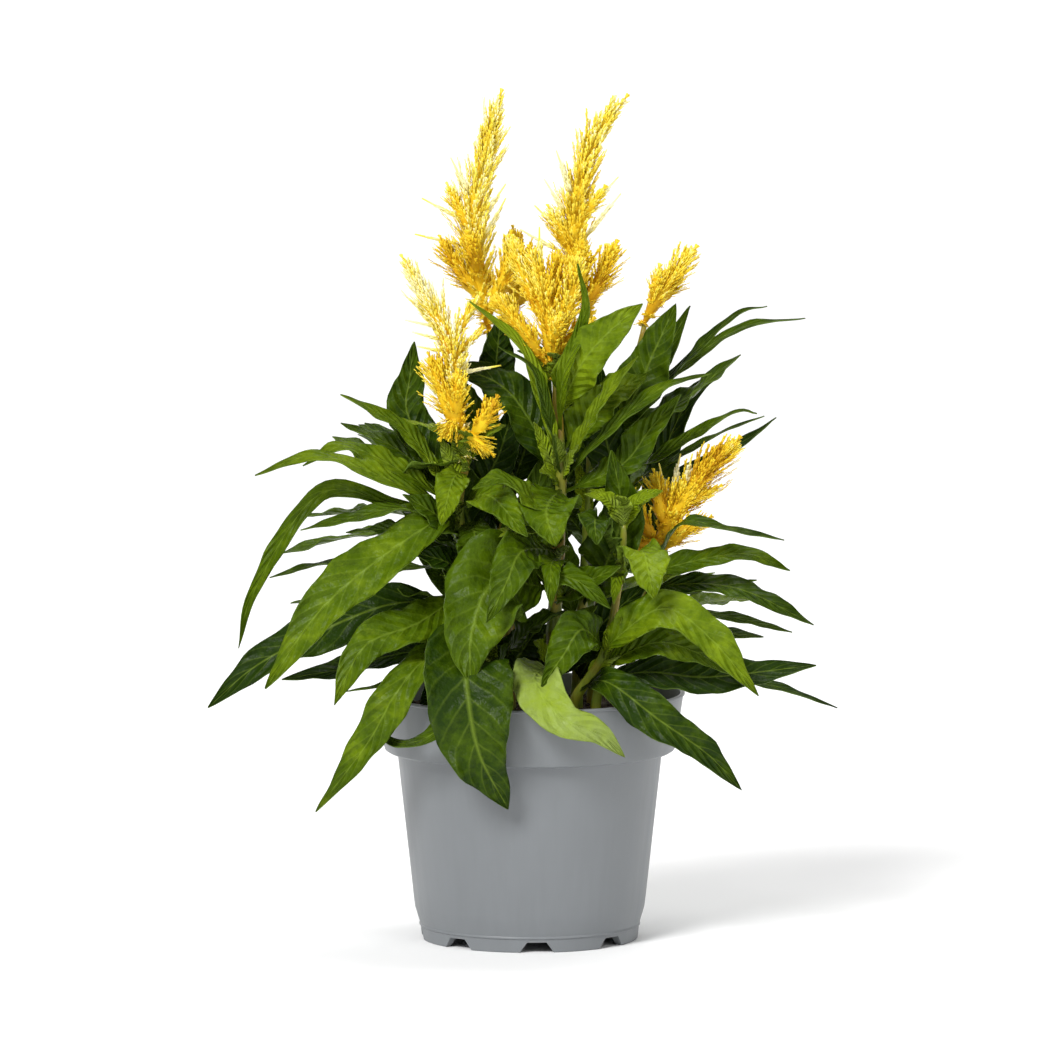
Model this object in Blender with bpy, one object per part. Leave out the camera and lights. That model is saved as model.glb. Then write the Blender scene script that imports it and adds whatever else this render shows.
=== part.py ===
# A plume celosia in its grey nursery pot: pot, soil, eight leafy stems and seven plumes.
import math
import random

import bmesh
import bpy
from mathutils import Vector
from mathutils.bvhtree import BVHTree

# Driving sizes in metres. The pot's axis is the Z axis and its foot stands on z = 0.
MM = 0.001
RIM_RADIUS = 0.0650
POT_HEIGHT = 0.1040
FOOT_RADIUS = 0.0455
BODY_LOW_RADIUS = 0.0485
BODY_TOP_RADIUS = 0.0555
SKIRT_LOW_RADIUS = 0.0612
SKIRT_LOW_Z = 0.0815
BODY_TOP_Z = 0.0785
BODY_LOW_Z = 0.0156
FOOT_TOP_Z = 0.0060
WALL = 0.0012
FLOOR_Z = 0.0050
FLOOR_TOP_Z = 0.0064
POT_SIDES = 30
SOIL_SIDES = 18
NOTCHES = 8
NOTCH_TURN = math.radians(3.7)
NOTCH_TOP_WIDTH = 0.0080
NOTCH_FOOT_WIDTH = 0.0145
NOTCH_HEIGHT = 0.0044
DRAIN_RADIUS = 0.0035
DRAIN_RING = 0.0350
DRAIN_SIDES = 6
SOIL_Z = 0.0950
SOIL_SLACK = 0.0005
SOIL_TOP_RADIUS = 0.0611
SOIL_ROUGHNESS = 0.0012
# Rings of the soil's top inside its edge, as a share of its radius and a height above SOIL_Z.
SOIL_RINGS = ((0.72, 0.001), (0.45, 0.001), (0.2, 0.002))
SOIL_HOLE_FLOOR = 0.0700
HOLE_SIDES = 8
HOLE_SLACK = 0.0014
GAP = 0.0003
PLUME_LIFT = 0.0012
LEAF_THICKNESS = 0.0008
STEM_SIDES = 5
STEM_STEPS = 5
# The front view is seen from this distance and height, and leaves are placed in it.
EYE_DISTANCE = 4.0
EYE_HEIGHT = 0.61
LEAF_STEPS = 5
SMALL_LEAF_STEPS = 4
BACK_LEAVES = 21
MIDDLE_LEAVES = 10
SOIL_SEED = 11
BACK_SEED = 12
MIDDLE_SEED = 13
LEAF_MARGIN = 1.4

# Each stem's way up, as (x, y, z) in millimetres, with its radius at the soil.
STEMS = {
    "centre": ([(8, -8, 72), (9, -9, 110), (11, -12, 150), (13, -13, 193), (11, -16, 236)], 3.5),
    "left": ([(-14, -10, 72), (-15, -11, 105), (-24, -14, 148), (-29, -16, 182), (-26, -20, 204)], 2.6),
    "left_tall": ([(-8, 10, 72), (-9, 10, 110), (-12, 10, 180), (-17, 9, 254)], 2.5),
    "right_tall": ([(20, 9, 72), (20, 9, 110), (25, 10, 190), (26, 11, 257)], 2.5),
    "right": ([(28, -4, 72), (29, -4, 105), (42, -4, 132), (52, -3, 160)], 2.3),
    "right_front": ([(18, -24, 72), (19, -25, 104), (31, -30, 124), (38, -32, 160), (39, -33, 178)], 2.4),
    "right_back": ([(26, 22, 72), (27, 22, 108), (34, 20, 190), (48, 18, 256)], 2.2),
    "back": ([(-4, 28, 72), (-5, 28, 110), (-9, 25, 190), (-10, 22, 252)], 2.2),
}

# Each leaf: the height of its root on the stem, its course to the tip as (x, z, y) seen from the
# front, its width, and how far its upper face leans towards the front in degrees.
LEAVES = {
    "centre": [
        (196, [(6, 226, -22), (-4, 250, -28), (-25, 268, -30)], 8, 35),
        (195, [(8, 218, -30), (2, 239, -35), (-13, 249, -37)], 6, 30),
        (192, [(0, 218, -16), (-13, 233, -15), (-34, 241, -12)], 21, 50),
        (212, [(14, 237, -28), (23, 264, -32), (20, 284, -31)], 6, 70),
        (221, [(20, 239, -30), (31, 253, -38), (47, 267, -40)], 21, 68),
        (197, [(31, 228, -34), (45, 245, -40)], 9, 40),
        (194, [(29, 210, -26), (54, 231, -30), (76, 238, -30)], 8, 35),
        (188, [(38, 199, -20), (50, 214, -20), (63, 229, -18)], 16, 50),
        (190, [(7, 180, -44), (11, 165, -60)], 28, 62),
        (170, [(-4, 172, -40), (-23, 167, -46)], 6, 40),
        (158, [(10, 154, -48), (21, 150, -54), (34, 139, -56)], 15, 50),
        (160, [(9, 157, -52), (9, 139, -62)], 12, 70),
        (165, [(-3, 163, -50), (-10, 149, -66), (-18, 133, -74)], 22, 70),
        (148, [(-14, 150, -48), (-24, 130, -62), (-25, 107, -68)], 40, 75),
        (116, [(2, 109, -60), (13, 93, -76), (29, 86, -74), (40, 76, -68)], 22, 70),
    ],
    "left": [
        (190, [(-50, 218, -4), (-50, 236, 0), (-48, 251, 2)], 19, 66),
        (186, [(-50, 212, -18), (-63, 221, -22), (-79, 229, -24)], 9, 40),
        (184, [(-54, 205, -10), (-79, 217, -8)], 13, 30),
        (182, [(-54, 197, -25), (-77, 207, -30), (-95, 199, -32)], 12, 35),
        (181, [(-54, 191, -36), (-88, 203, -42), (-115, 195, -44)], 10, 35),
        (179, [(-56, 183, -20), (-88, 187, -24), (-115, 147, -26), (-122, 122, -26)], 9, 50),
        (178, [(-54, 181, -42), (-79, 176, -48), (-96, 172, -50)], 10, 28),
        (176, [(-42, 174, -40), (-84, 142, -54), (-111, 105, -56)], 23, 65),
        (168, [(-55, 172, -14), (-77, 171, -14)], 12, 20),
        (160, [(-54, 156, -10), (-84, 158, -8), (-109, 152, -6)], 10, 20),
        (142, [(-42, 142, -18), (-67, 138, -20), (-111, 117, -22), (-135, 97, -20)], 23, 55),
        (126, [(-54, 120, -2), (-75, 114, 2), (-104, 109, 4)], 15, 40),
        (150, [(-46, 133, -42), (-69, 123, -54), (-82, 98, -58)], 20, 65),
        (124, [(-42, 118, -44), (-56, 103, -54), (-68, 82, -52), (-90, 53, -42)], 18, 50),
        (116, [(-44, 114, -30), (-60, 107, -36), (-77, 104, -36)], 6, 20),
        (112, [(-25, 110, -52), (-38, 88, -66), (-56, 82, -50), (-69, 93, -38)], 8, 60),
        (118, [(-26, 117, -60), (-26, 101, -77), (-21, 76, -78), (-9, 53, -70)], 40, 80),
        (183, [(-17, 187, -36), (-1, 170, -52)], 17, 60),
    ],
    "right_tall": [
        (208, [(42, 226, 0), (52, 247, -2), (61, 267, -2)], 22, 60),
        (202, [(52, 239, 14), (67, 266, 16)], 12, 45),
    ],
    "right": [
        (150, [(54, 155, -18), (88, 162, -22), (109, 155, -22)], 11, 50),
        (144, [(60, 149, -10), (88, 147, -14), (119, 132, -14)], 12, 45),
        (146, [(71, 147, 6), (95, 151, 8)], 7, 30),
        (138, [(60, 136, 4), (80, 136, 6), (110, 129, 6)], 7, 30),
        (128, [(60, 130, 14), (98, 127, 18)], 12, 40),
        (118, [(66, 113, 8), (103, 106, 10), (129, 97, 12)], 8, 30),
        (154, [(56, 200, 10), (68, 226, 12), (81, 236, 12)], 14, 50),
        (156, [(63, 176, -16), (80, 175, -18), (106, 170, -18)], 7, 30),
    ],
    "right_front": [
        (122, [(36, 126, -44), (56, 139, -54), (76, 126, -56), (96, 102, -54)], 19, 60),
        (116, [(50, 124, -40), (66, 122, -42), (86, 111, -44)], 15, 60),
        (110, [(48, 112, -28), (75, 110, -30), (120, 115, -30)], 19, 55),
        (108, [(32, 108, -52), (54, 92, -62), (75, 77, -54), (89, 62, -44)], 18, 65),
        (158, [(28, 176, -46), (28, 166, -60)], 19, 25),
        (158, [(47, 163, -50), (52, 143, -70)], 21, 10),
        (150, [(37, 154, -48), (35, 141, -63)], 7, 50),
        (126, [(22, 130, -52), (14, 119, -60), (5, 106, -68)], 20, 65),
    ],
    "right_back": [
        (214, [(52, 230, 20), (84, 261, 16), (99, 266, 14)], 6, 25),
        (206, [(56, 233, 26), (86, 256, 28), (115, 261, 28)], 7, 25),
        (190, [(52, 202, 4), (84, 221, 4), (95, 221, 4)], 7, 30),
        (180, [(54, 198, 12), (80, 213, 14), (98, 220, 14)], 5, 20),
        (172, [(54, 190, 24), (88, 208, 28), (103, 219, 30)], 8, 30),
    ],
}

# Leaves between the stems that fill the middle, given in the same way.
FILL_LEAVES = {
    "centre": [
        (176, [(2, 184, -34), (-12, 194, -44), (-24, 190, -50)], 15, 40),
        (142, [(22, 150, -34), (38, 158, -44)], 16, 55),
        (124, [(18, 130, -30), (28, 140, -40)], 15, 50),
    ],
    "left": [
        (166, [(-36, 176, -34), (-53, 187, -44)], 16, 50),
        (150, [(-34, 158, -36), (-51, 163, -46)], 15, 50),
        (138, [(-16, 150, -34), (-4, 160, -44)], 17, 55),
        (158, [(-28, 152, -36), (-25, 134, -48)], 18, 58),
        (198, [(-32, 193, -34), (-37, 174, -46)], 14, 60),
        (176, [(-23, 170, -34), (-28, 151, -47)], 16, 60),
        (110, [(-32, 106, -36), (-47, 95, -48)], 20, 60),
    ],
    "left_tall": [
        (150, [(-22, 168, 3), (-30, 190, -3), (-36, 212, -6)], 24, 62),
        (134, [(-8, 152, 0), (1, 176, -3), (6, 204, -4)], 24, 64),
        (196, [(-20, 214, 4), (-30, 236, 2)], 16, 60),
        (218, [(-14, 240, 3), (-12, 262, 0)], 17, 70),
        (170, [(-20, 186, 0), (-12, 206, -4), (-6, 226, -4)], 20, 66),
        (106, [(-5, 118, 3), (5, 133, 0)], 22, 60),
    ],
    "right_tall": [
        (138, [(32, 160, 1), (38, 182, -4), (34, 208, -6)], 24, 62),
        (128, [(14, 148, 4), (8, 170, 2), (12, 196, 2)], 20, 62),
        (212, [(22, 232, 8), (16, 252, 4)], 17, 66),
        (176, [(34, 196, 4), (30, 218, -2), (30, 240, -4)], 20, 66),
        (106, [(26, 118, -2), (38, 131, -8)], 22, 60),
    ],
    "back": [
        (128, [(-24, 146, 24), (-48, 168, 20)], 26, 60),
        (140, [(4, 166, 28), (18, 192, 26)], 26, 60),
        (178, [(-16, 206, 20), (-26, 228, 18)], 22, 60),
        (184, [(0, 212, 20), (8, 238, 20)], 20, 60),
        (108, [(10, 122, 24), (27, 134, 22)], 24, 60),
        (106, [(-20, 118, 24), (-38, 131, 22)], 24, 60),
    ],
}

# Each plume's spikes: the course from base to tip as (x, z, y) seen from the front and the widest
# radius. The first is the main spike, whose base sits on its stem.
PLUMES = {
    "left_tall": [
        ([(-21, 273, 9), (-24, 300, 8), (-18, 330, 8), (-12, 355, 8)], 10.5),
        ([(-20, 268, 8), (-30, 282, 6), (-37, 294, 5)], 8.0),
        ([(-17, 262, 8), (-10, 280, 6), (-8, 296, 5)], 8.0), ([(-22, 284, 10), (-25, 304, 20)], 6.5),
        ([(-22, 280, 4), (-26, 296, -6)], 7.0), ([(-24, 296, 8), (-34, 316, 6)], 6.0),
        ([(-30, 303, 7), (-45, 311, 4)], 1.9), ([(-31, 292, 7), (-48, 296, 6)], 2.1),
        ([(-20, 302, 7), (-10, 317, 5)], 1.9), ([(-18, 296, 6), (-10, 311, 4)], 2.1),
        ([(-26, 314, 8), (-33, 328, 6)], 2.4),
    ],
    "right_tall": [
        ([(21, 275, 11), (18, 296, 11), (23, 325, 12), (31, 342, 12), (40, 353, 12)], 10.5),
        ([(22, 264, 11), (30, 278, 9), (36, 292, 7)], 8.5), ([(21, 270, 12), (20, 296, 24)], 7.5),
        ([(20, 272, 8), (22, 292, -3)], 7.5), ([(17, 289, 11), (8, 307, 7)], 6.5),
        ([(20, 300, 11), (31, 315, 8)], 5.5), ([(17, 314, 10), (11, 331, 8)], 2.4),
        ([(14, 306, 10), (6, 319, 8)], 2.0), ([(12, 298, 10), (2, 308, 8)], 2.0),
        ([(10, 290, 9), (-4, 298, 8)], 2.0), ([(26, 308, 10), (37, 320, 8)], 2.2),
        ([(24, 296, 10), (38, 313, 8)], 2.0),
    ],
    "centre": [
        ([(9, 252, -18), (6, 272, -20), (0, 290, -21)], 10.5),
        ([(7, 258, -18), (-3, 280, -18), (-7, 294, -18)], 7.0),
        ([(6, 242, -18), (-5, 258, -22), (-16, 270, -24)], 7.5),
        ([(10, 248, -18), (17, 270, -22), (20, 287, -22)], 9.0), ([(9, 250, -18), (13, 262, -30)], 8.5),
        ([(11, 246, -18), (26, 260, -18)], 8.0), ([(9, 262, -18), (12, 288, -12)], 7.0),
        ([(4, 284, -20), (4, 299, -22)], 2.0),
    ],
    "left": [
        ([(-32, 226, -22), (-33, 248, -26), (-43, 268, -28), (-53, 286, -30)], 10.0),
        ([(-28, 213, -23), (-35, 228, -26), (-42, 245, -28)], 11.0),
        ([(-24, 212, -25), (-19, 218, -28), (-14, 227, -29)], 8.2), ([(-31, 218, -24), (-30, 238, -34)], 8.0),
        ([(-31, 222, -20), (-32, 244, -12)], 7.0), ([(-32, 252, -26), (-21, 270, -24)], 4.5),
        ([(-30, 246, -25), (-20, 256, -24)], 3.5), ([(-29, 238, -24), (-12, 241, -22)], 2.8),
        ([(-38, 257, -27), (-52, 260, -28)], 2.2), ([(-38, 252, -27), (-49, 255, -32)], 2.2),
        ([(-37, 247, -27), (-47, 249, -30)], 2.2), ([(-28, 213, -25), (-16, 204, -30)], 6.5),
        ([(-29, 221, -24), (-37, 211, -30)], 6.5),
    ],
    "right_back": [
        ([(52, 267, 18), (58, 276, 18), (69, 290, 18)], 8.0), ([(54, 267, 19), (64, 279, 22)], 5.5),
        ([(51, 268, 17), (54, 282, 13)], 5.0),
    ],
    "right": [
        ([(58, 174, -4), (69, 190, -8), (87, 210, -10)], 10.5),
        ([(56, 164, -5), (64, 171, -8), (75, 177, -9)], 8.0),
        ([(53, 167, -4), (47, 176, -7), (44, 188, -9)], 7.0), ([(56, 174, -6), (52, 196, -4)], 8.0),
        ([(59, 176, -1), (62, 192, 8)], 6.0), ([(57, 186, -3), (54, 200, -2)], 2.2),
        ([(60, 190, -5), (63, 204, -4)], 2.2), ([(65, 192, -6), (68, 204, -10)], 2.2),
        ([(64, 182, -6), (79, 190, -10)], 4.0), ([(54, 168, -6), (45, 165, -10), (36, 166, -13)], 4.8),
    ],
    "back": [
        ([(-9, 262, 24), (-4, 280, 26), (-7, 298, 29)], 9.0), ([(-7, 265, 25), (3, 279, 26)], 7.0),
        ([(-11, 266, 26), (-19, 280, 33)], 6.5), ([(-7, 267, 22), (-2, 279, 16)], 5.5),
    ],
}
# Rings and sides of a main spike, a side spike and a slim one, which is thinner than SLIM.
MAIN_SPIKE = (9, 6)
SIDE_SPIKE = (4, 5)
SLIM_SPIKE = (2, 4)
SLIM = 3


def seen(x, z, y):
    """World point at depth y on the eye's line through (x, z) in the plane of the pot's axis."""
    reach = (y * MM + EYE_DISTANCE) / EYE_DISTANCE
    return Vector((x * MM * reach, y * MM, EYE_HEIGHT + (z * MM - EYE_HEIGHT) * reach))


def along(points, t):
    """Point of a smooth curve that passes through all the points, for t from 0 to 1."""
    place = t * (len(points) - 1)
    i = min(int(place), len(points) - 2)
    u = place - i
    b, c = points[i], points[i + 1]
    a = points[i - 1] if i > 0 else b * 2 - c
    d = points[i + 2] if i + 2 < len(points) else c * 2 - b
    return (b * 2 + (c - a) * u + (a * 2 - b * 5 + c * 4 - d) * u ** 2
            + (b * 3 - a - c * 3 + d) * u ** 3) * 0.5


def even(points, count):
    """Points at equal distances on the smooth curve, with its direction at each."""
    fine = [along(points, i / 60) for i in range(61)]
    lengths = [0.0]
    for i in range(60):
        lengths.append(lengths[-1] + (fine[i + 1] - fine[i]).length)
    result, j = [], 0
    for k in range(count + 1):
        goal = lengths[-1] * k / count
        while j < 59 and lengths[j + 1] < goal:
            j += 1
        step = fine[j + 1] - fine[j]
        result.append((fine[j] + step * ((goal - lengths[j]) / step.length), step.normalized()))
    return result


def material(name, colour, roughness):
    mat = bpy.data.materials.new(name)
    mat.use_nodes = True
    shader = mat.node_tree.nodes["Principled BSDF"]
    shader.inputs["Base Color"].default_value = (*colour, 1.0)
    shader.inputs["Roughness"].default_value = roughness
    return mat


def add_object(name, verts, faces, mat=None, smooth=False):
    mesh = bpy.data.meshes.new(name)
    mesh.from_pydata(verts, [], faces)
    bm = bmesh.new()
    bm.from_mesh(mesh)
    bmesh.ops.recalc_face_normals(bm, faces=bm.faces)
    bm.to_mesh(mesh)
    bm.free()
    if smooth:
        mesh.shade_smooth()
    if mat:
        mesh.materials.append(mat)
    obj = bpy.data.objects.new(name, mesh)
    bpy.context.scene.collection.objects.link(obj)
    return obj


def apply_boolean(obj, operation, others, solver="EXACT"):
    """Joins the other objects to obj, or cuts them from it, and removes them."""
    group = bpy.data.collections.new("parts")
    bpy.context.scene.collection.children.link(group)
    for other in others:
        bpy.context.scene.collection.objects.unlink(other)
        group.objects.link(other)
    mod = obj.modifiers.new("join", "BOOLEAN")
    mod.operation = operation
    mod.operand_type = "COLLECTION"
    mod.collection = group
    mod.solver = solver
    bpy.context.view_layer.update()
    graph = bpy.context.evaluated_depsgraph_get()
    mesh = bpy.data.meshes.new_from_object(obj.evaluated_get(graph))
    obj.modifiers.clear()
    obj.data = mesh
    for other in others:
        bpy.data.objects.remove(other)
    bpy.data.collections.remove(group)


def keep_largest(obj):
    """Fills hollows that joining sealed and drops loose scraps, which are all smaller shells."""
    bm = bmesh.new()
    bm.from_mesh(obj.data)
    left, shells = set(bm.verts), []
    while left:
        shell, edge = set(), [left.pop()]
        while edge:
            vert = edge.pop()
            shell.add(vert)
            near = {e.other_vert(vert) for e in vert.link_edges} & left
            left -= near
            edge += near
        shells.append(shell)
    shells.sort(key=len)
    loose = [v for shell in shells[:-1] for v in shell]
    bmesh.ops.delete(bm, geom=loose, context="VERTS")
    bm.to_mesh(obj.data)
    bm.free()


def tube(points, radii, sides):
    """Vertices and faces of a closed tube with a ring round each point."""
    verts, faces = [], []
    stations = even(points, len(radii) - 1)
    for (centre, way), radius in zip(stations, radii):
        side = way.cross(Vector((0, 1, 0))).normalized()
        other = way.cross(side)
        for k in range(sides):
            turn = math.tau * k / sides
            verts.append(centre + (side * math.cos(turn) + other * math.sin(turn)) * radius)
    for i in range(len(radii) - 1):
        for k in range(sides):
            n = (k + 1) % sides
            faces.append((i * sides + k, i * sides + n, (i + 1) * sides + n, (i + 1) * sides + k))
    faces.append(tuple(range(sides)))
    faces.append(tuple(range((len(radii) - 1) * sides, len(radii) * sides)))
    return verts, faces


def turned(profile, sides):
    """Vertices and faces of a profile of (radius, z) turned round the Z axis, closed at its ends."""
    verts, faces = [Vector((0, 0, profile[0][1]))], []
    for radius, z in profile:
        for k in range(sides):
            turn = math.tau * k / sides
            verts.append(Vector((radius * math.cos(turn), radius * math.sin(turn), z)))
    verts.append(Vector((0, 0, profile[-1][1])))
    last = 1 + (len(profile) - 1) * sides
    for k in range(sides):
        n = (k + 1) % sides
        faces.append((0, 1 + n, 1 + k))
        faces.append((len(verts) - 1, last + k, last + n))
        for i in range(len(profile) - 1):
            low, high = 1 + i * sides, 1 + (i + 1) * sides
            faces.append((low + k, low + n, high + n, high + k))
    return verts, faces


def block(outline, near, far, turn):
    """A prism of an outline of (width, z) from radius near to radius far, turned about Z."""
    verts = []
    for reach in (near, far):
        for across, z in outline:
            verts.append(Vector((math.sin(turn) * reach + math.cos(turn) * across,
                                 -math.cos(turn) * reach + math.sin(turn) * across, z)))
    n = len(outline)
    faces = [tuple(range(n)), tuple(range(n, 2 * n))]
    faces += [(i, (i + 1) % n, n + (i + 1) % n, n + i) for i in range(n)]
    return verts, faces


def pot_outside():
    return [
        (FOOT_RADIUS - 0.0040, FLOOR_Z), (FOOT_RADIUS - 0.0034, 0), (FOOT_RADIUS, 0),
        (FOOT_RADIUS + 0.0004, FOOT_TOP_Z), (BODY_LOW_RADIUS, BODY_LOW_Z),
        (BODY_TOP_RADIUS, BODY_TOP_Z), (SKIRT_LOW_RADIUS - 0.0018, SKIRT_LOW_Z - 0.0022),
        (SKIRT_LOW_RADIUS, SKIRT_LOW_Z), (RIM_RADIUS - 0.0006, POT_HEIGHT - 0.0012),
        (RIM_RADIUS, POT_HEIGHT - 0.0008), (RIM_RADIUS, POT_HEIGHT),
    ]


def pot_inside():
    return [
        (RIM_RADIUS - WALL * 1.6, POT_HEIGHT), (SKIRT_LOW_RADIUS - WALL, SKIRT_LOW_Z + WALL),
        (BODY_TOP_RADIUS - WALL, BODY_TOP_Z + WALL), (BODY_LOW_RADIUS - WALL, BODY_LOW_Z),
        (FOOT_RADIUS - WALL, FLOOR_TOP_Z),
    ]


def make_pot(mat):
    verts, faces = turned(pot_outside() + pot_inside(), POT_SIDES)
    pot = add_object("pot", verts, faces, mat)
    top, foot = NOTCH_TOP_WIDTH / 2, NOTCH_FOOT_WIDTH / 2
    outline = [(-foot, -0.002), (foot, -0.002), (foot, 0.0003), (foot - 0.0022, 0.0010),
               (top, NOTCH_HEIGHT), (-top, NOTCH_HEIGHT), (-foot + 0.0022, 0.0010), (-foot, 0.0003)]
    cutters = []
    for k in range(NOTCHES):
        turn = NOTCH_TURN + math.tau * k / NOTCHES
        cutters.append(add_object("notch", *block(outline, 0.030, 0.060, turn)))
        centre = Vector((math.sin(turn), -math.cos(turn), 0)) * DRAIN_RING
        ends = [centre + Vector((0, 0, z)) for z in (FLOOR_Z - 0.003, FLOOR_TOP_Z + 0.003)]
        cutters.append(add_object("drain", *tube(ends, [DRAIN_RADIUS] * 2, DRAIN_SIDES)))
    apply_boolean(pot, "DIFFERENCE", cutters, "EXACT")
    pot.data.shade_smooth()
    pot.data.set_sharp_from_angle(angle=math.radians(35))
    return pot


def stem_radii(radius, count):
    return [radius * MM * (1 - 0.5 * i / count) for i in range(count + 1)]


def make_soil(mat):
    rng = random.Random(SOIL_SEED)
    profile = [(r - SOIL_SLACK, z + SOIL_SLACK) for r, z in reversed(pot_inside()[1:])]
    profile.append((SOIL_TOP_RADIUS, SOIL_Z))
    profile += [(SOIL_TOP_RADIUS * share, SOIL_Z + rise) for share, rise in SOIL_RINGS]
    verts, faces = turned(profile, SOIL_SIDES)
    for vert in verts[1 + len(pot_inside()[1:]) * SOIL_SIDES:]:
        vert.z += rng.uniform(-SOIL_ROUGHNESS, SOIL_ROUGHNESS)
    soil = add_object("soil", verts, faces, mat)
    cutters = []
    for points, radius in STEMS.values():
        x, y = points[0][0] * MM, points[0][1] * MM
        ends = [Vector((x, y, SOIL_HOLE_FLOOR)), Vector((x, y, SOIL_Z + 0.02))]
        cutters.append(add_object("hole", *tube(ends, [radius * MM + HOLE_SLACK] * 2, HOLE_SIDES)))
    apply_boolean(soil, "DIFFERENCE", cutters, "EXACT")
    return soil


def leaf_width(t):
    """Half the blade's width at t, as a share of the whole: a petiole, then a lance-shaped blade."""
    if t < 0.12:
        return 0.0
    u = (t - 0.12) / 0.88
    return 0.5 * math.sin(math.pi * u ** 0.78) ** 0.85


def leaf_mesh(points, width, lean, phase, count):
    """A waved, keeled blade on its petiole, split into triangles alike on both faces."""
    face = Vector((0, -math.sin(math.radians(lean)), math.cos(math.radians(lean))))
    tops, lows = [], []
    for i, (centre, way) in enumerate(even(points, count)):
        t = i / count
        up = (face - way * face.dot(way)).normalized()
        side = way.cross(up).normalized()
        half = max(leaf_width(t) * width * MM, 0.0008)
        wave = math.sin(i * 2.4 + phase) * half * 0.16 if 0 < i < count else 0
        if i == count:
            tops.append([centre + up * LEAF_THICKNESS / 2])
            lows.append([centre - up * LEAF_THICKNESS / 2])
            continue
        lift = half * 0.22
        row = [-side * half + up * (lift + wave), Vector((0, 0, 0)), side * half + up * (lift - wave)]
        tops.append([centre + v + up * LEAF_THICKNESS / 2 for v in row])
        lows.append([centre + v - up * LEAF_THICKNESS / 2 for v in row])
    verts = [v for row in tops for v in row] + [v for row in lows for v in row]
    low = len(verts) // 2
    faces = []
    for i in range(count - 1):
        a, b = 3 * i, 3 * (i + 1)
        for k in (0, 1):
            faces += [(a + k, b + k, b + k + 1), (a + k, b + k + 1, a + k + 1)]
    a, tip = 3 * (count - 1), 3 * count
    faces += [(a, tip, a + 1), (a + 1, tip, a + 2)]
    faces += [tuple(low + v for v in reversed(f)) for f in faces]
    rim = [3 * i for i in range(count)] + [tip] + [3 * i + 2 for i in reversed(range(count))]
    for v, n in zip(rim, rim[1:]):
        faces += [(v, v + low, n + low), (v, n + low, n)]
    faces += [(2, 2 + low, 1 + low), (2, 1 + low, 1), (1, 1 + low, low), (1, low, 0)]
    return verts, faces


def on_stem(stem, z):
    """Point on a stem's centre line at the height z in millimetres."""
    points = [Vector(p) * MM for p in STEMS[stem][0]]
    return min((along(points, i / 80) for i in range(81)), key=lambda p: abs(p.z - z * MM))


def back_leaves():
    """Leaves for the back and the sides, spread round the stems by a rule."""
    rng = random.Random(BACK_SEED)
    names = ["left_tall", "back", "right_back", "right_tall", "left", "right"]
    result = []
    for i in range(BACK_LEAVES):
        stem = names[i % len(names)]
        level = 112 + 112 * ((i * 0.618) % 1)
        root = on_stem(stem, level)
        turn = math.radians(rng.uniform(8, 172))
        if stem in ("left_tall", "left"):
            turn = math.radians(rng.uniform(100, 190))
        if stem in ("right_tall", "right"):
            turn = math.radians(rng.uniform(-12, 80))
        reach = rng.uniform(72, 104) * (1.15 - (level - 112) / 260)
        rise = rng.uniform(0.1, 0.45)
        drop = rng.uniform(0.1, 0.5) if level < 170 else rng.uniform(-0.3, 0.15)
        out = Vector((math.cos(turn), math.sin(turn), 0)) * reach * MM
        mid = root + out * 0.5 + Vector((0, 0, reach * rise * MM * 0.5))
        tip = root + out + Vector((0, 0, reach * (rise - drop) * MM * 0.8))
        result.append((stem, root, [mid, tip], rng.uniform(17, 28), rng.uniform(-15, 15)))
    return result


def middle_leaves():
    """Short steep leaves that fill the middle between the stems."""
    rng = random.Random(MIDDLE_SEED)
    names = ["centre", "right_tall", "left_tall", "right_front", "back", "left", "right_back", "right"]
    result = []
    for i in range(MIDDLE_LEAVES):
        stem = names[i % len(names)]
        level = 108 + 104 * ((i * 0.618) % 1)
        if stem in ("right", "right_front", "left"):
            level = 106 + (level - 106) * 0.6
        root = on_stem(stem, level)
        turn = math.radians(137.5 * i + rng.uniform(-20, 20))
        reach = rng.uniform(30, 46)
        rise = rng.uniform(0.7, 1.3)
        out = Vector((math.cos(turn), math.sin(turn) * 0.7, 0)) * reach * MM
        mid = root + out * 0.5 + Vector((0, 0, reach * rise * MM * 0.55))
        tip = root + out + Vector((0, 0, reach * rise * MM * rng.uniform(0.7, 1.0)))
        lean = rng.uniform(45, 75) if math.sin(turn) > -0.3 else rng.uniform(15, 40)
        result.append((stem, root, [mid, tip], rng.uniform(17, 24), lean))
    return result


def front_leaves():
    """The leaves given by hand, as stem, root, points to the tip, width and lean."""
    result = []
    for stem, leaves in [*LEAVES.items(), *FILL_LEAVES.items()]:
        for root, course, width, lean in leaves:
            result.append((stem, on_stem(stem, root), [seen(*p) for p in course], width, lean))
    return result


def tree(verts, faces):
    return BVHTree.FromPolygons([tuple(v) for v in verts], faces)


def bends():
    """Ways of bending a leaf clear, the smallest first: in depth, then up or down as well."""
    tries = [Vector((0, 0, 0))]
    for reach in (4, 7, 11, 15, 20, 26, 33):
        for depth, rise in ((-1, 0), (1, 0), (0.4, 1), (-0.4, 1), (0.4, -1), (-0.4, -1)):
            tries.append(Vector((0, depth * reach, rise * reach * 0.6)) * MM)
    return tries


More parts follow.
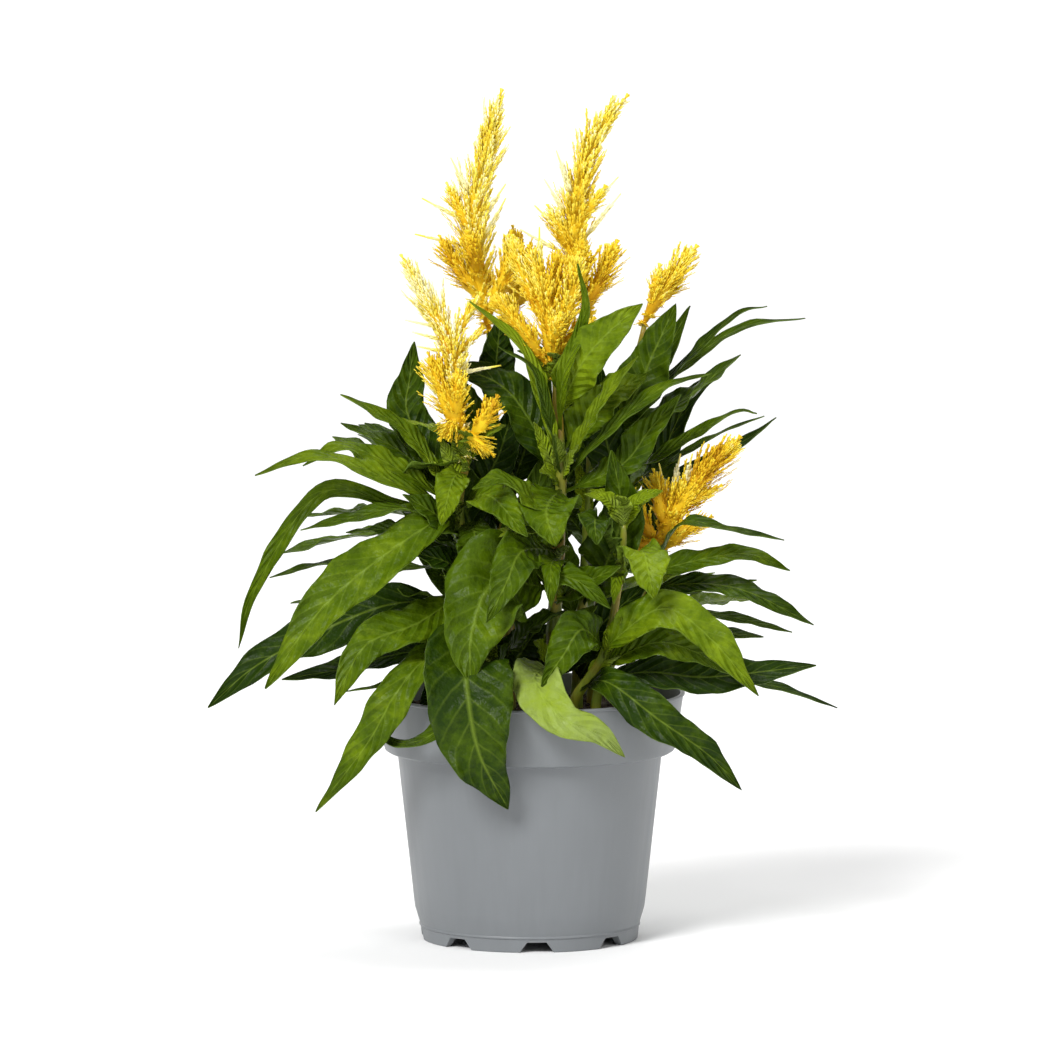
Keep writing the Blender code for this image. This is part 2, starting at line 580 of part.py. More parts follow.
def clear_leaves(given, ruled, fixed):
    """Leaf meshes by stem, each bent until it crosses nothing of another node.

    The leaves placed by a rule are also bent until they hide no plume from the front."""
    placed = list(fixed)
    result = {stem: [] for stem in STEMS}
    eye = Vector((0, -EYE_DISTANCE, EYE_HEIGHT))
    marks = [seen(*p) for spikes in PLUMES.values() for course, radius in spikes for p in course]
    for index, (stem, root, course, width, lean) in enumerate(given + ruled):
        steps = LEAF_STEPS if index < len(given) and width > 7 else SMALL_LEAF_STEPS
        for shift in bends():
            bent = [p + shift * (0.5 + 0.5 * (i + 1) / len(course)) for i, p in enumerate(course)]
            points = [root - (bent[0] - root).normalized() * 0.0006] + bent
            shape = tree(*leaf_mesh(points, width + LEAF_MARGIN, lean, index, steps))
            if index >= len(given):
                if any(shape.ray_cast(eye, p - eye, (p - eye).length)[0] for p in marks):
                    continue
            if not any(owner != stem and shape.overlap(other) for owner, other in placed):
                placed.append((stem, shape))
                result[stem].append(leaf_mesh(points, width, lean, index, steps))
                break
        else:
            print("left out", stem, index)
    return result


def spike_mesh(points, radius, rings, sides):
    """A spindle whose florets are raised from its surface, every second point standing out."""
    stations = even(points, rings)
    verts, faces = [stations[0][0]], []
    for i, (centre, way) in enumerate(stations[:-1]):
        t = i / rings
        body = radius * MM * min(1.0, 0.5 + 2.2 * t) * (1 - t ** 2.2) + 0.0006
        side = way.cross(Vector((0.2, 1, 0))).normalized()
        other = way.cross(side)
        for k in range(sides):
            turn = math.tau * (k + 0.5 * (i % 2)) / sides
            out = side * math.cos(turn) + other * math.sin(turn)
            if k % 2 == 0 and i > 0:
                verts.append(centre + out * body * 1.18 + way * (0.0012 + body * 0.28))
            else:
                verts.append(centre + out * body * 0.56)
    verts.append(stations[-1][0])
    faces += [(0, 1 + (k + 1) % sides, 1 + k) for k in range(sides)]
    for i in range(rings - 1):
        for k in range(sides):
            n = (k + 1) % sides
            a, b = 1 + i * sides, 1 + (i + 1) * sides
            faces += [(a + k, a + n, b + k), (a + n, b + n, b + k)]
    last = 1 + (rings - 1) * sides
    faces += [(len(verts) - 1, last + k, last + (k + 1) % sides) for k in range(sides)]
    return verts, faces


def plume_spikes(stem):
    """Points, radius, rings and sides of each spike of the plume on a stem."""
    top = Vector(STEMS[stem][0][-1]) * MM + Vector((0, 0, PLUME_LIFT))
    result = []
    for i, (course, radius) in enumerate(PLUMES[stem]):
        points = [seen(*p) for p in course]
        if i == 0:
            result.append(([top] + points, radius, *MAIN_SPIKE))
        else:
            result.append((points, radius, *(SIDE_SPIKE if radius > SLIM else SLIM_SPIKE)))
    return result


def centre_footprint():
    """Moves the whole plant so that the middle of its outline, seen from above, is the origin."""
    points = [v.co for obj in bpy.data.objects for v in obj.data.vertices]
    middle = [(min(p[i] for p in points) + max(p[i] for p in points)) / 2 for i in (0, 1)]
    for obj in bpy.data.objects:
        obj.location = (-middle[0], -middle[1], 0)
    print("pot axis at", -middle[0], -middle[1])


def main():
    for obj in list(bpy.data.objects):
        bpy.data.objects.remove(obj)
    grey = material("grey_plastic", (0.25, 0.27, 0.29), 0.45)
    brown = material("brown_soil", (0.035, 0.022, 0.014), 0.95)
    green = material("green_leaf", (0.09, 0.20, 0.02), 0.42)
    yellow = material("yellow_plume", (0.85, 0.60, 0.07), 0.60)
    pot = make_pot(grey)
    soil = make_soil(brown)

    fixed = []
    for obj in (pot, soil):
        polys = [tuple(p.vertices) for p in obj.data.polygons]
        fixed.append((obj.name, tree([v.co for v in obj.data.vertices], polys)))
    spikes = {stem: [spike_mesh(*s) for s in plume_spikes(stem)] for stem in PLUMES}
    for stem, shapes in spikes.items():
        fixed += [("plume_" + stem, tree(*shape)) for shape in shapes]
    tubes = {}
    for stem, (points, radius) in STEMS.items():
        points = [Vector(p) * MM for p in points]
        points[0].z = SOIL_HOLE_FLOOR + GAP
        tubes[stem] = tube(points, stem_radii(radius, STEM_STEPS), STEM_SIDES)
        fixed.append((stem, tree(*tubes[stem])))

    for stem, leaves in clear_leaves(front_leaves(), back_leaves() + middle_leaves(), fixed).items():
        body = add_object("leafy_stem_" + stem, *tubes[stem], green)
        apply_boolean(body, "UNION", [add_object("leaf", *shape) for shape in leaves])
        keep_largest(body)
    for stem, shapes in spikes.items():
        body = add_object("plume_" + stem, *shapes[0], yellow)
        apply_boolean(body, "UNION", [add_object("spike", *shape) for shape in shapes[1:]])
        keep_largest(body)
    centre_footprint()


main()
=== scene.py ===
import math
import random

import bmesh
import bpy
import mathutils.noise
import numpy as np
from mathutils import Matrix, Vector
from mathutils.bvhtree import BVHTree


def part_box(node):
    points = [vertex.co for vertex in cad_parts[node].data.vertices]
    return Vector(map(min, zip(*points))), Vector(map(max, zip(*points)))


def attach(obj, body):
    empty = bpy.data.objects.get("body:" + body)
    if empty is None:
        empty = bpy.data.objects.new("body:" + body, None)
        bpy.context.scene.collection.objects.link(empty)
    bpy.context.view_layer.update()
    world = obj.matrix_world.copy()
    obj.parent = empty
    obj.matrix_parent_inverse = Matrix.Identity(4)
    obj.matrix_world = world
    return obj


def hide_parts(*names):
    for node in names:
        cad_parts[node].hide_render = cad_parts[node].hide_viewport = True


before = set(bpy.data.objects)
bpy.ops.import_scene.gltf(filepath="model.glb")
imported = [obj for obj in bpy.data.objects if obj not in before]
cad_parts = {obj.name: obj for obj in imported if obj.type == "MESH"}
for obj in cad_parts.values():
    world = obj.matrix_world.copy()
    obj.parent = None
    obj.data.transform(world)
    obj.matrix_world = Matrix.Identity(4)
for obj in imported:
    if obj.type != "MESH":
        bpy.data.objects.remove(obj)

bpy.ops.object.select_all(action="DESELECT")
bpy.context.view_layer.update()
potLow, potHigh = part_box("pot")
potAxis = Vector(((potLow.x + potHigh.x) / 2, (potLow.y + potHigh.y) / 2, 0))
mm = 0.001

# the eye that the leaves were placed from, and the camera with it
view = {"distance": 4.0, "height": 0.61, "aimX": -0.002, "aimZ": 0.174, "lens": 329.8, "sensor": 36}
eye = Vector((0, -view["distance"], view["height"]))

# each stem's way up as (x, y, z) in millimetres from the pot's axis, and its radius at the soil
stems = {
    "centre": ([(8, -8, 72), (9, -9, 110), (11, -12, 150), (13, -13, 193), (11, -16, 236)], 3.5),
    "left": ([(-14, -10, 72), (-15, -11, 105), (-24, -14, 148), (-29, -16, 182), (-26, -20, 204)], 2.6),
    "left_tall": ([(-8, 10, 72), (-9, 10, 110), (-12, 10, 180), (-17, 9, 254)], 2.5),
    "right_tall": ([(20, 9, 72), (20, 9, 110), (25, 10, 190), (26, 11, 257)], 2.5),
    "right": ([(28, -4, 72), (29, -4, 105), (42, -4, 132), (52, -3, 160)], 2.3),
    "right_front": ([(18, -24, 72), (19, -25, 104), (31, -30, 124), (38, -32, 160), (39, -33, 178)], 2.4),
    "right_back": ([(26, 22, 72), (27, 22, 108), (34, 20, 190), (48, 18, 256)], 2.2),
    "back": ([(-4, 28, 72), (-5, 28, 110), (-9, 25, 190), (-10, 22, 252)], 2.2),
}

# each leaf: its root's height, its course as (x, z, y) seen from the front, its width, its lean
# towards the front, and its tone from 0 to 1: lighter for young leaves, darker for leaves in shade as
# painted shade
leaves = {
    "centre": [
        (196, [(6, 226, -22), (-4, 250, -28), (-25, 268, -30)], 8, 35, 0.9),
        (195, [(8, 218, -30), (2, 239, -35), (-13, 249, -37)], 6, 30, 0.35),
        (192, [(0, 218, -16), (-13, 233, -15), (-34, 241, -12)], 21, 50, 0.15),
        (212, [(14, 237, -28), (23, 264, -32), (20, 284, -31)], 6, 70, 0.45),
        (221, [(20, 239, -30), (31, 253, -38), (47, 267, -40)], 21, 68, 0.5),
        (197, [(31, 228, -34), (45, 245, -40)], 9, 40, 0.7),
        (194, [(29, 210, -26), (54, 231, -30), (76, 238, -30)], 8, 35, 0.5),
        (188, [(38, 199, -20), (50, 214, -20), (63, 229, -18)], 16, 50, 0.4),
        (190, [(7, 180, -44), (11, 165, -60)], 28, 62, 0.3),
        (170, [(-4, 172, -40), (-23, 167, -46)], 6, 40, 0.9),
        (158, [(10, 154, -48), (21, 150, -54), (34, 139, -56)], 15, 50, 0.4),
        (160, [(9, 157, -52), (9, 139, -62)], 12, 70, 0.6),
        (165, [(-3, 163, -50), (-10, 149, -66), (-18, 133, -74)], 22, 70, 0.35),
        (148, [(-14, 150, -48), (-24, 130, -62), (-25, 107, -68)], 40, 75, 0.2),
        (116, [(2, 109, -60), (13, 93, -76), (29, 86, -74), (40, 76, -68)], 22, 70, 1.2),
    ],
    "left": [
        (190, [(-50, 218, -4), (-50, 236, 0), (-48, 251, 2)], 19, 66, 0.2),
        (186, [(-50, 212, -18), (-63, 221, -22), (-79, 229, -24)], 9, 40, 0.7),
        (184, [(-54, 205, -10), (-79, 217, -8)], 13, 30, 0.25),
        (182, [(-54, 197, -25), (-77, 207, -30), (-95, 199, -32)], 12, 35, 0.4),
        (181, [(-54, 191, -36), (-88, 203, -42), (-115, 195, -44)], 10, 35, 0.45),
        (179, [(-56, 183, -20), (-88, 187, -24), (-115, 147, -26), (-122, 122, -26)], 9, 50, 0.5),
        (178, [(-54, 181, -42), (-79, 176, -48), (-96, 172, -50)], 10, 28, 0.5),
        (176, [(-42, 174, -40), (-84, 142, -54), (-111, 105, -56)], 23, 65, 0.5),
        (168, [(-55, 172, -14), (-77, 171, -14)], 12, 20, 0.1),
        (160, [(-54, 156, -10), (-84, 158, -8), (-109, 152, -6)], 10, 20, 0.1),
        (142, [(-42, 142, -18), (-67, 138, -20), (-111, 117, -22), (-135, 97, -20)], 23, 55, 0.05),
        (126, [(-54, 120, -2), (-75, 114, 2), (-104, 109, 4)], 15, 40, 0.1),
        (150, [(-46, 133, -42), (-69, 123, -54), (-82, 98, -58)], 20, 65, 0.42),
        (124, [(-42, 118, -44), (-56, 103, -54), (-68, 82, -52), (-90, 53, -42)], 18, 50, 0.3),
        (116, [(-44, 114, -30), (-60, 107, -36), (-77, 104, -36)], 6, 20, 0.3),
        (112, [(-25, 110, -52), (-38, 88, -66), (-56, 82, -50), (-69, 93, -38)], 8, 60, 0.4),
        (118, [(-26, 117, -60), (-26, 101, -77), (-21, 76, -78), (-9, 53, -70)], 40, 80, 0.2),
        (183, [(-17, 187, -36), (-1, 170, -52)], 17, 60, 0.5),
    ],
    "right_tall": [
        (208, [(42, 226, 0), (52, 247, -2), (61, 267, -2)], 22, 60, 0.15),
        (202, [(52, 239, 14), (67, 266, 16)], 12, 45, 0.1),
    ],
    "right": [
        (150, [(54, 155, -18), (88, 162, -22), (109, 155, -22)], 11, 50, 0.5),
        (144, [(60, 149, -10), (88, 147, -14), (119, 132, -14)], 12, 45, 0.25),
        (146, [(71, 147, 6), (95, 151, 8)], 7, 30, 0.2),
        (138, [(60, 136, 4), (80, 136, 6), (110, 129, 6)], 7, 30, 0.1),
        (128, [(60, 130, 14), (98, 127, 18)], 12, 40, 0.1),
        (118, [(66, 113, 8), (103, 106, 10), (129, 97, 12)], 8, 30, 0.1),
        (154, [(56, 200, 10), (68, 226, 12), (81, 236, 12)], 14, 50, 0.15),
        (156, [(63, 176, -16), (80, 175, -18), (106, 170, -18)], 7, 30, 0.1),
    ],
    "right_front": [
        (122, [(36, 126, -44), (56, 139, -54), (76, 126, -56), (96, 102, -54)], 19, 60, 0.45),
        (116, [(50, 124, -40), (66, 122, -42), (86, 111, -44)], 15, 60, 0.4),
        (110, [(48, 112, -28), (75, 110, -30), (120, 115, -30)], 19, 55, 0.1),
        (108, [(32, 108, -52), (54, 92, -62), (75, 77, -54), (89, 62, -44)], 18, 65, 0.15),
        (158, [(28, 176, -46), (28, 166, -60)], 19, 25, 0.1),
        (158, [(47, 163, -50), (52, 143, -70)], 21, 10, 0.5),
        (150, [(37, 154, -48), (35, 141, -63)], 7, 50, 0.6),
        (126, [(22, 130, -52), (14, 119, -60), (5, 106, -68)], 20, 65, 0.4),
    ],
    "right_back": [
        (214, [(52, 230, 20), (84, 261, 16), (99, 266, 14)], 6, 25, 0.15),
        (206, [(56, 233, 26), (86, 256, 28), (115, 261, 28)], 7, 25, 0.15),
        (190, [(52, 202, 4), (84, 221, 4), (95, 221, 4)], 7, 30, 0.3),
        (180, [(54, 198, 12), (80, 213, 14), (98, 220, 14)], 5, 20, 0.2),
        (172, [(54, 190, 24), (88, 208, 28), (103, 219, 30)], 8, 30, 0.1),
    ],
}

# leaves between the stems that fill the middle, given low tones that paint them dark as shade behind the
# others
fillLeaves = {
    "centre": [
        (176, [(2, 184, -34), (-12, 194, -44), (-24, 190, -50)], 15, 40, 0.55),
        (142, [(22, 150, -34), (38, 158, -44)], 16, 55, 0.25),
        (124, [(18, 130, -30), (28, 140, -40)], 15, 50, 0.4),
    ],
    "left": [
        (166, [(-36, 176, -34), (-53, 187, -44)], 16, 50, 0.3),
        (150, [(-34, 158, -36), (-51, 163, -46)], 15, 50, 0.15),
        (138, [(-16, 150, -34), (-4, 160, -44)], 17, 55, 0.35),
        (158, [(-28, 152, -36), (-25, 134, -48)], 18, 58, 0.25),
        (198, [(-32, 193, -34), (-37, 174, -46)], 14, 60, 0.55),
        (176, [(-23, 170, -34), (-28, 151, -47)], 16, 60, 0.35),
        (110, [(-32, 106, -36), (-47, 95, -48)], 20, 60, 0.05),
    ],
    "left_tall": [
        (150, [(-22, 168, 3), (-30, 190, -3), (-36, 212, -6)], 24, 62, 0.05),
        (134, [(-8, 152, 0), (1, 176, -3), (6, 204, -4)], 24, 64, 0.1),
        (196, [(-20, 214, 4), (-30, 236, 2)], 16, 60, 0.2),
        (218, [(-14, 240, 3), (-12, 262, 0)], 17, 70, 0.0),
        (170, [(-20, 186, 0), (-12, 206, -4), (-6, 226, -4)], 20, 66, 0.05),
        (106, [(-5, 118, 3), (5, 133, 0)], 22, 60, 0.05),
    ],
    "right_tall": [
        (138, [(32, 160, 1), (38, 182, -4), (34, 208, -6)], 24, 62, 0.05),
        (128, [(14, 148, 4), (8, 170, 2), (12, 196, 2)], 20, 62, 0.1),
        (212, [(22, 232, 8), (16, 252, 4)], 17, 66, 0.1),
        (176, [(34, 196, 4), (30, 218, -2), (30, 240, -4)], 20, 66, 0.1),
        (106, [(26, 118, -2), (38, 131, -8)], 22, 60, 0.05),
    ],
    "back": [
        (128, [(-24, 146, 24), (-48, 168, 20)], 26, 60, 0.05),
        (140, [(4, 166, 28), (18, 192, 26)], 26, 60, 0.05),
        (178, [(-16, 206, 20), (-26, 228, 18)], 22, 60, 0.1),
        (184, [(0, 212, 20), (8, 238, 20)], 20, 60, 0.1),
        (108, [(10, 122, 24), (27, 134, 22)], 24, 60, 0.05),
        (106, [(-20, 118, 24), (-38, 131, 22)], 24, 60, 0.1),
    ],
}
hiddenLeaves = {"count": 21, "seed": 12, "level": 112, "range": 112,
                "stems": ("left_tall", "back", "right_back", "right_tall", "left", "right")}
innerLeaves = {"count": 10, "seed": 13, "level": 108, "range": 104,
               "stems": ("centre", "right_tall", "left_tall", "right_front", "back", "left", "right_back",
                         "right")}

# each plume's spikes: the course from base to tip as (x, z, y), the widest radius, and how pale
plumes = {
    "left_tall": [
        ([(-21, 273, 9), (-24, 300, 8), (-18, 330, 8), (-12, 355, 8)], 10.5, 0.22),
        ([(-20, 268, 8), (-30, 282, 6), (-37, 294, 5)], 8.0, -0.1),
        ([(-17, 262, 8), (-10, 280, 6), (-8, 296, 5)], 8.0, -0.05),
        ([(-22, 284, 10), (-25, 304, 20)], 6.5, -0.1), ([(-22, 280, 4), (-26, 296, -6)], 7.0, -0.1),
        ([(-24, 296, 8), (-34, 316, 6)], 6.0, 0.1), ([(-30, 303, 7), (-45, 311, 4)], 1.9, 0.35),
        ([(-31, 292, 7), (-48, 296, 6)], 2.1, 0.35), ([(-20, 302, 7), (-10, 317, 5)], 1.9, 0.35),
        ([(-18, 296, 6), (-10, 311, 4)], 2.1, 0.35), ([(-26, 314, 8), (-33, 328, 6)], 2.4, 0.3),
    ],
    "right_tall": [
        ([(21, 275, 11), (18, 296, 11), (23, 325, 12), (31, 342, 12), (40, 353, 12)], 10.5, 0.05),
        ([(22, 264, 11), (30, 278, 9), (36, 292, 7)], 8.5, 0.0), ([(21, 270, 12), (20, 296, 24)], 7.5, 0.0),
        ([(20, 272, 8), (22, 292, -3)], 7.5, -0.05), ([(17, 289, 11), (8, 307, 7)], 6.5, 0.1),
        ([(20, 300, 11), (31, 315, 8)], 5.5, 0.1), ([(17, 314, 10), (11, 331, 8)], 2.4, 0.3),
        ([(14, 306, 10), (6, 319, 8)], 2.0, 0.35), ([(12, 298, 10), (2, 308, 8)], 2.0, 0.35),
        ([(10, 290, 9), (-4, 298, 8)], 2.0, 0.35), ([(26, 308, 10), (37, 320, 8)], 2.2, 0.3),
        ([(24, 296, 10), (38, 313, 8)], 2.0, 0.3),
    ],
    "centre": [
        ([(9, 252, -18), (6, 272, -20), (0, 290, -21)], 10.5, 0.0),
        ([(7, 258, -18), (-3, 280, -18), (-7, 294, -18)], 7.0, 0.08),
        ([(6, 242, -18), (-5, 258, -22), (-16, 270, -24)], 7.5, 0.0),
        ([(10, 248, -18), (17, 270, -22), (20, 287, -22)], 9.0, 0.05),
        ([(9, 250, -18), (13, 262, -30)], 8.5, 0.0),
        ([(11, 246, -18), (26, 260, -18)], 8.0, 0.0), ([(9, 262, -18), (12, 288, -12)], 7.0, -0.05),
        ([(4, 284, -20), (4, 299, -22)], 2.0, 0.35),
    ],
    "left": [
        ([(-32, 226, -22), (-33, 248, -26), (-43, 268, -28), (-53, 286, -30)], 10.0, 0.38),
        ([(-28, 213, -23), (-35, 228, -26), (-42, 245, -28)], 11.0, -0.05),
        ([(-24, 212, -25), (-19, 218, -28), (-14, 227, -29)], 8.2, -0.2),
        ([(-31, 218, -24), (-30, 238, -34)], 8.0, 0.0), ([(-31, 222, -20), (-32, 244, -12)], 7.0, 0.0),
        ([(-32, 252, -26), (-21, 270, -24)], 4.5, 0.25), ([(-30, 246, -25), (-20, 256, -24)], 3.5, 0.25),
        ([(-29, 238, -24), (-12, 241, -22)], 2.8, 0.25), ([(-38, 257, -27), (-52, 260, -28)], 2.2, 0.4),
        ([(-38, 252, -27), (-49, 255, -32)], 2.2, 0.4), ([(-37, 247, -27), (-47, 249, -30)], 2.2, 0.4),
        ([(-28, 213, -25), (-16, 204, -30)], 6.5, -0.2), ([(-29, 221, -24), (-37, 211, -30)], 6.5, -0.1),
    ],
    "right_back": [
        ([(52, 267, 18), (58, 276, 18), (69, 290, 18)], 8.0, 0.08),
        ([(54, 267, 19), (64, 279, 22)], 5.5, 0.08), ([(51, 268, 17), (54, 282, 13)], 5.0, 0.08),
    ],
    "right": [
        ([(58, 174, -4), (69, 190, -8), (87, 210, -10)], 10.5, -0.15),
        ([(56, 164, -5), (64, 171, -8), (75, 177, -9)], 8.0, -0.1),
        ([(53, 167, -4), (47, 176, -7), (44, 188, -9)], 7.0, -0.1),
        ([(56, 174, -6), (52, 196, -4)], 8.0, -0.1), ([(59, 176, -1), (62, 192, 8)], 6.0, 0.0),
        ([(57, 186, -3), (54, 200, -2)], 2.2, 0.3), ([(60, 190, -5), (63, 204, -4)], 2.2, 0.3),
        ([(65, 192, -6), (68, 204, -10)], 2.2, 0.3), ([(64, 182, -6), (79, 190, -10)], 4.0, 0.1),
        ([(54, 168, -6), (45, 165, -10), (36, 166, -13)], 4.8, -0.1),
    ],
    "back": [
        ([(-9, 262, 24), (-4, 280, 26), (-7, 298, 29)], 9.0, -0.15),
        ([(-7, 265, 25), (3, 279, 26)], 7.0, -0.1), ([(-11, 266, 26), (-19, 280, 33)], 6.5, -0.1),
        ([(-7, 267, 22), (-2, 279, 16)], 5.5, -0.1),
    ],
}
soilHoleFloor = 0.0703  # where the stems' holes in the soil end
soilTop = 0.095
goldenTurn = 2.4  # radians between one twig or floret and the next
curveSteps = 60
stemSteps = 80

# what the solids and the visual leaves share: where the petiole ends, where the blade is widest, how
# round it is, how deep its keel is, and how far and how often its sides wave
bladeForm = {"petiole": 0.12, "widest": 0.78, "round": 0.85, "keel": 0.22, "wave": 0.16, "waves": 2.4}

# how leaves are bent clear: the room round a leaf, the steps of a slim and of a broad one, and the
# shifts that are tried, backwards and forwards, up and down
clearing = {
    "stemSides": 5, "margin": 1.4, "broad": 7, "steps": (4, 5), "sunk": 0.0006, "lift": 0.6,
    "reaches": (4, 7, 11, 15, 20, 26, 33),
    "ways": ((-1, 0), (1, 0), (0.4, 1), (-0.4, 1), (0.4, -1), (-0.4, -1)),
}


def pick(*things):  # selects these alone, the first of them active
    bpy.ops.object.select_all(action="DESELECT")
    for thing in things:
        thing.select_set(True)
        bpy.context.view_layer.objects.active = things[0]


def startEdit(action="SELECT"):
    bpy.ops.object.mode_set(mode="EDIT")
    bpy.ops.mesh.select_all(action=action)


def closeEdit():  # turns the faces outward on the way out
    bpy.ops.mesh.select_all(action="SELECT")
    bpy.ops.mesh.normals_make_consistent(inside=False)
    bpy.ops.object.mode_set(mode="OBJECT")


def pickRim():  # the open edges alone
    bpy.ops.mesh.select_all(action="DESELECT")
    bpy.ops.mesh.select_mode(type="EDGE")
    bpy.ops.mesh.select_non_manifold(extend=False)


def extrude(*step):
    bpy.ops.mesh.extrude_region_move(TRANSFORM_OT_translate={"value": step})


def newObject(name, mesh):
    made = bpy.data.objects.new(name, mesh)
    bpy.context.scene.collection.objects.link(made)
    return made


def finish(piece, slotName, *nodes):
    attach(piece, "root")
    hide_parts(*nodes)


def seen(x, z, y):  # the point at depth y on the eye's line through (x, z) in the pot axis's plane
    reach = (y * mm + view["distance"]) / view["distance"]
    return Vector((x * mm * reach, y * mm, view["height"] + (z * mm - view["height"]) * reach))


def along(points, t):  # the smooth curve through the points, at t from 0 to 1
    place = t * (len(points) - 1)
    i = min(int(place), len(points) - 2)
    u = place - i
    b, c = points[i], points[i + 1]
    a = points[i - 1] if i > 0 else b * 2 - c
    d = points[i + 2] if i + 2 < len(points) else c * 2 - b
    return (b * 2 + (c - a) * u + (a * 2 - b * 5 + c * 4 - d) * u ** 2
            + (b * 3 - a - c * 3 + d) * u ** 3) * 0.5


def even(points, count):  # equal steps on the curve through the points, with the direction at each
    fine = [along(points, i / curveSteps) for i in range(curveSteps + 1)]
    lengths = [0.0]
    for a, b in zip(fine, fine[1:]):
        lengths.append(lengths[-1] + (b - a).length)
    result, j = [], 0
    for k in range(count + 1):
        goal = lengths[-1] * k / count
        while j < curveSteps - 1 and lengths[j + 1] < goal:
            j += 1
        step = fine[j + 1] - fine[j]
        result.append((fine[j] + step * ((goal - lengths[j]) / step.length), step.normalized()))
    return result


def crossWays(way, axis, least=0.0):  # two directions square to a way
    side = way.cross(Vector(axis))
    if side.length < least:
        side = way.cross(Vector((1, 0, 0)))
    side.normalize()
    return side, way.cross(side)


def around(side, other, turn):
    return side * math.cos(turn) + other * math.sin(turn)


def leafWays(way, lean):  # up and side of a leaf that runs this way and leans towards the front
    face = Vector((0, -math.sin(math.radians(lean)), math.cos(math.radians(lean))))
    up = (face - way * face.dot(way)).normalized()
    return up, way.cross(up).normalized()


def spikeBody(radius, t, start=0.5, gain=2.2):  # quickly full, then pointed
    return radius * mm * min(1.0, start + gain * t) * (1 - t ** 2.2)


def stemPoints(stem, foot=None):
    points = [Vector(p) * mm for p in stems[stem][0]]
    if foot:
        points[0].z = foot
    return points


def onStem(stem, z):
    points = stemPoints(stem)
    places = [along(points, i / stemSteps) for i in range(stemSteps + 1)]
    return min(places, key=lambda p: abs(p.z - z * mm))


# the plain forms of the solids, which say how far each leaf is bent clear
def tube(points, radii, sides):
    verts, faces = [], []
    for (centre, way), radius in zip(even(points, len(radii) - 1), radii):
        side, other = crossWays(way, (0, 1, 0))
        verts += [centre + around(side, other, math.tau * k / sides) * radius for k in range(sides)]
    for i in range(len(radii) - 1):
        for k in range(sides):
            n = (k + 1) % sides
            faces.append((i * sides + k, i * sides + n, (i + 1) * sides + n, (i + 1) * sides + k))
    return verts, faces


def closedTube(points, radii, sides):
    verts, faces = tube(points, radii, sides)
    return verts, faces + [tuple(reversed(range(sides))), tuple(range(len(verts) - sides, len(verts)))]


def leafShare(t):  # half the blade's width along the leaf: a petiole, then a lance-shaped blade
    u = np.clip((t - bladeForm["petiole"]) / (1 - bladeForm["petiole"]), 0, 1)
    return 0.5 * np.sin(np.pi * u ** bladeForm["widest"]) ** bladeForm["round"]


def plainLeaf(points, width, lean, phase, broad, count):
    verts, faces = [], []
    for i, (centre, way) in enumerate(even(points, count)):
        up, side = leafWays(way, lean)
        half = max(leafShare(i / count) * (width + broad) * mm, 0.0008)
        keel = half * bladeForm["keel"]
        wave = math.sin(i * bladeForm["waves"] + phase) * half * bladeForm["wave"] if 0 < i < count else 0
        for above in (0.0004, -0.0004):
            if i == count:
                verts.append(centre + up * above)
            else:
                verts += [centre - side * half + up * (keel + wave + above), centre + up * above,
                          centre + side * half + up * (keel - wave + above)]
    tip = 6 * count
    for i in range(count):
        for level in (0, 1):
            a, b = 6 * i + 3 * level, 6 * (i + 1) + 3 * level
            if i == count - 1:
                faces += [(a, tip + level, a + 1), (a + 1, tip + level, a + 2)]
            else:
                faces += [(a + k, b + k, b + k + 1) for k in (0, 1)]
                faces += [(a + k, b + k + 1, a + k + 1) for k in (0, 1)]
        for k in (0, 2):
            a = 6 * i + k
            b, d = (a + 6, a + 9) if i < count - 1 else (tip, tip + 1)
            faces += [(a, a + 3, d), (a, d, b)]
    faces += [(2, 5, 4), (2, 4, 1), (1, 4, 3), (1, 3, 0)]
    return verts, faces


def searchTree(verts, faces):
    return BVHTree.FromPolygons([tuple(v) for v in verts], faces)


def spots(rule):  # the rule's stems in turn, with heights spread over its range
    for i in range(rule["count"]):
        yield i, rule["stems"][i % len(rule["stems"])], rule["level"] + rule["range"] * ((i * 0.618) % 1)


def backLeaves():  # leaves for the back and the sides, spread round the stems
    rng = random.Random(hiddenLeaves["seed"])
    result = []
    for i, stem, level in spots(hiddenLeaves):
        root = onStem(stem, level)
        turn = math.radians(rng.uniform(8, 172))
        if stem in ("left_tall", "left"):
            turn = math.radians(rng.uniform(100, 190))
        if stem in ("right_tall", "right"):
            turn = math.radians(rng.uniform(-12, 80))
        reach = rng.uniform(72, 104) * (1.15 - (level - hiddenLeaves["level"]) / 260)
        rise = rng.uniform(0.1, 0.45)
        drop = rng.uniform(0.1, 0.5) if level < 170 else rng.uniform(-0.3, 0.15)
        out = Vector((math.cos(turn), math.sin(turn), 0)) * reach * mm
        mid = root + out * 0.5 + Vector((0, 0, reach * rise * mm * 0.5))
        tip = root + out + Vector((0, 0, reach * (rise - drop) * mm * 0.8))
        width, lean = rng.uniform(17, 28), rng.uniform(-15, 15)
        result.append((stem, root, [mid, tip], width, lean, 0.1 + 0.5 * ((i * 0.37) % 1)))
    return result


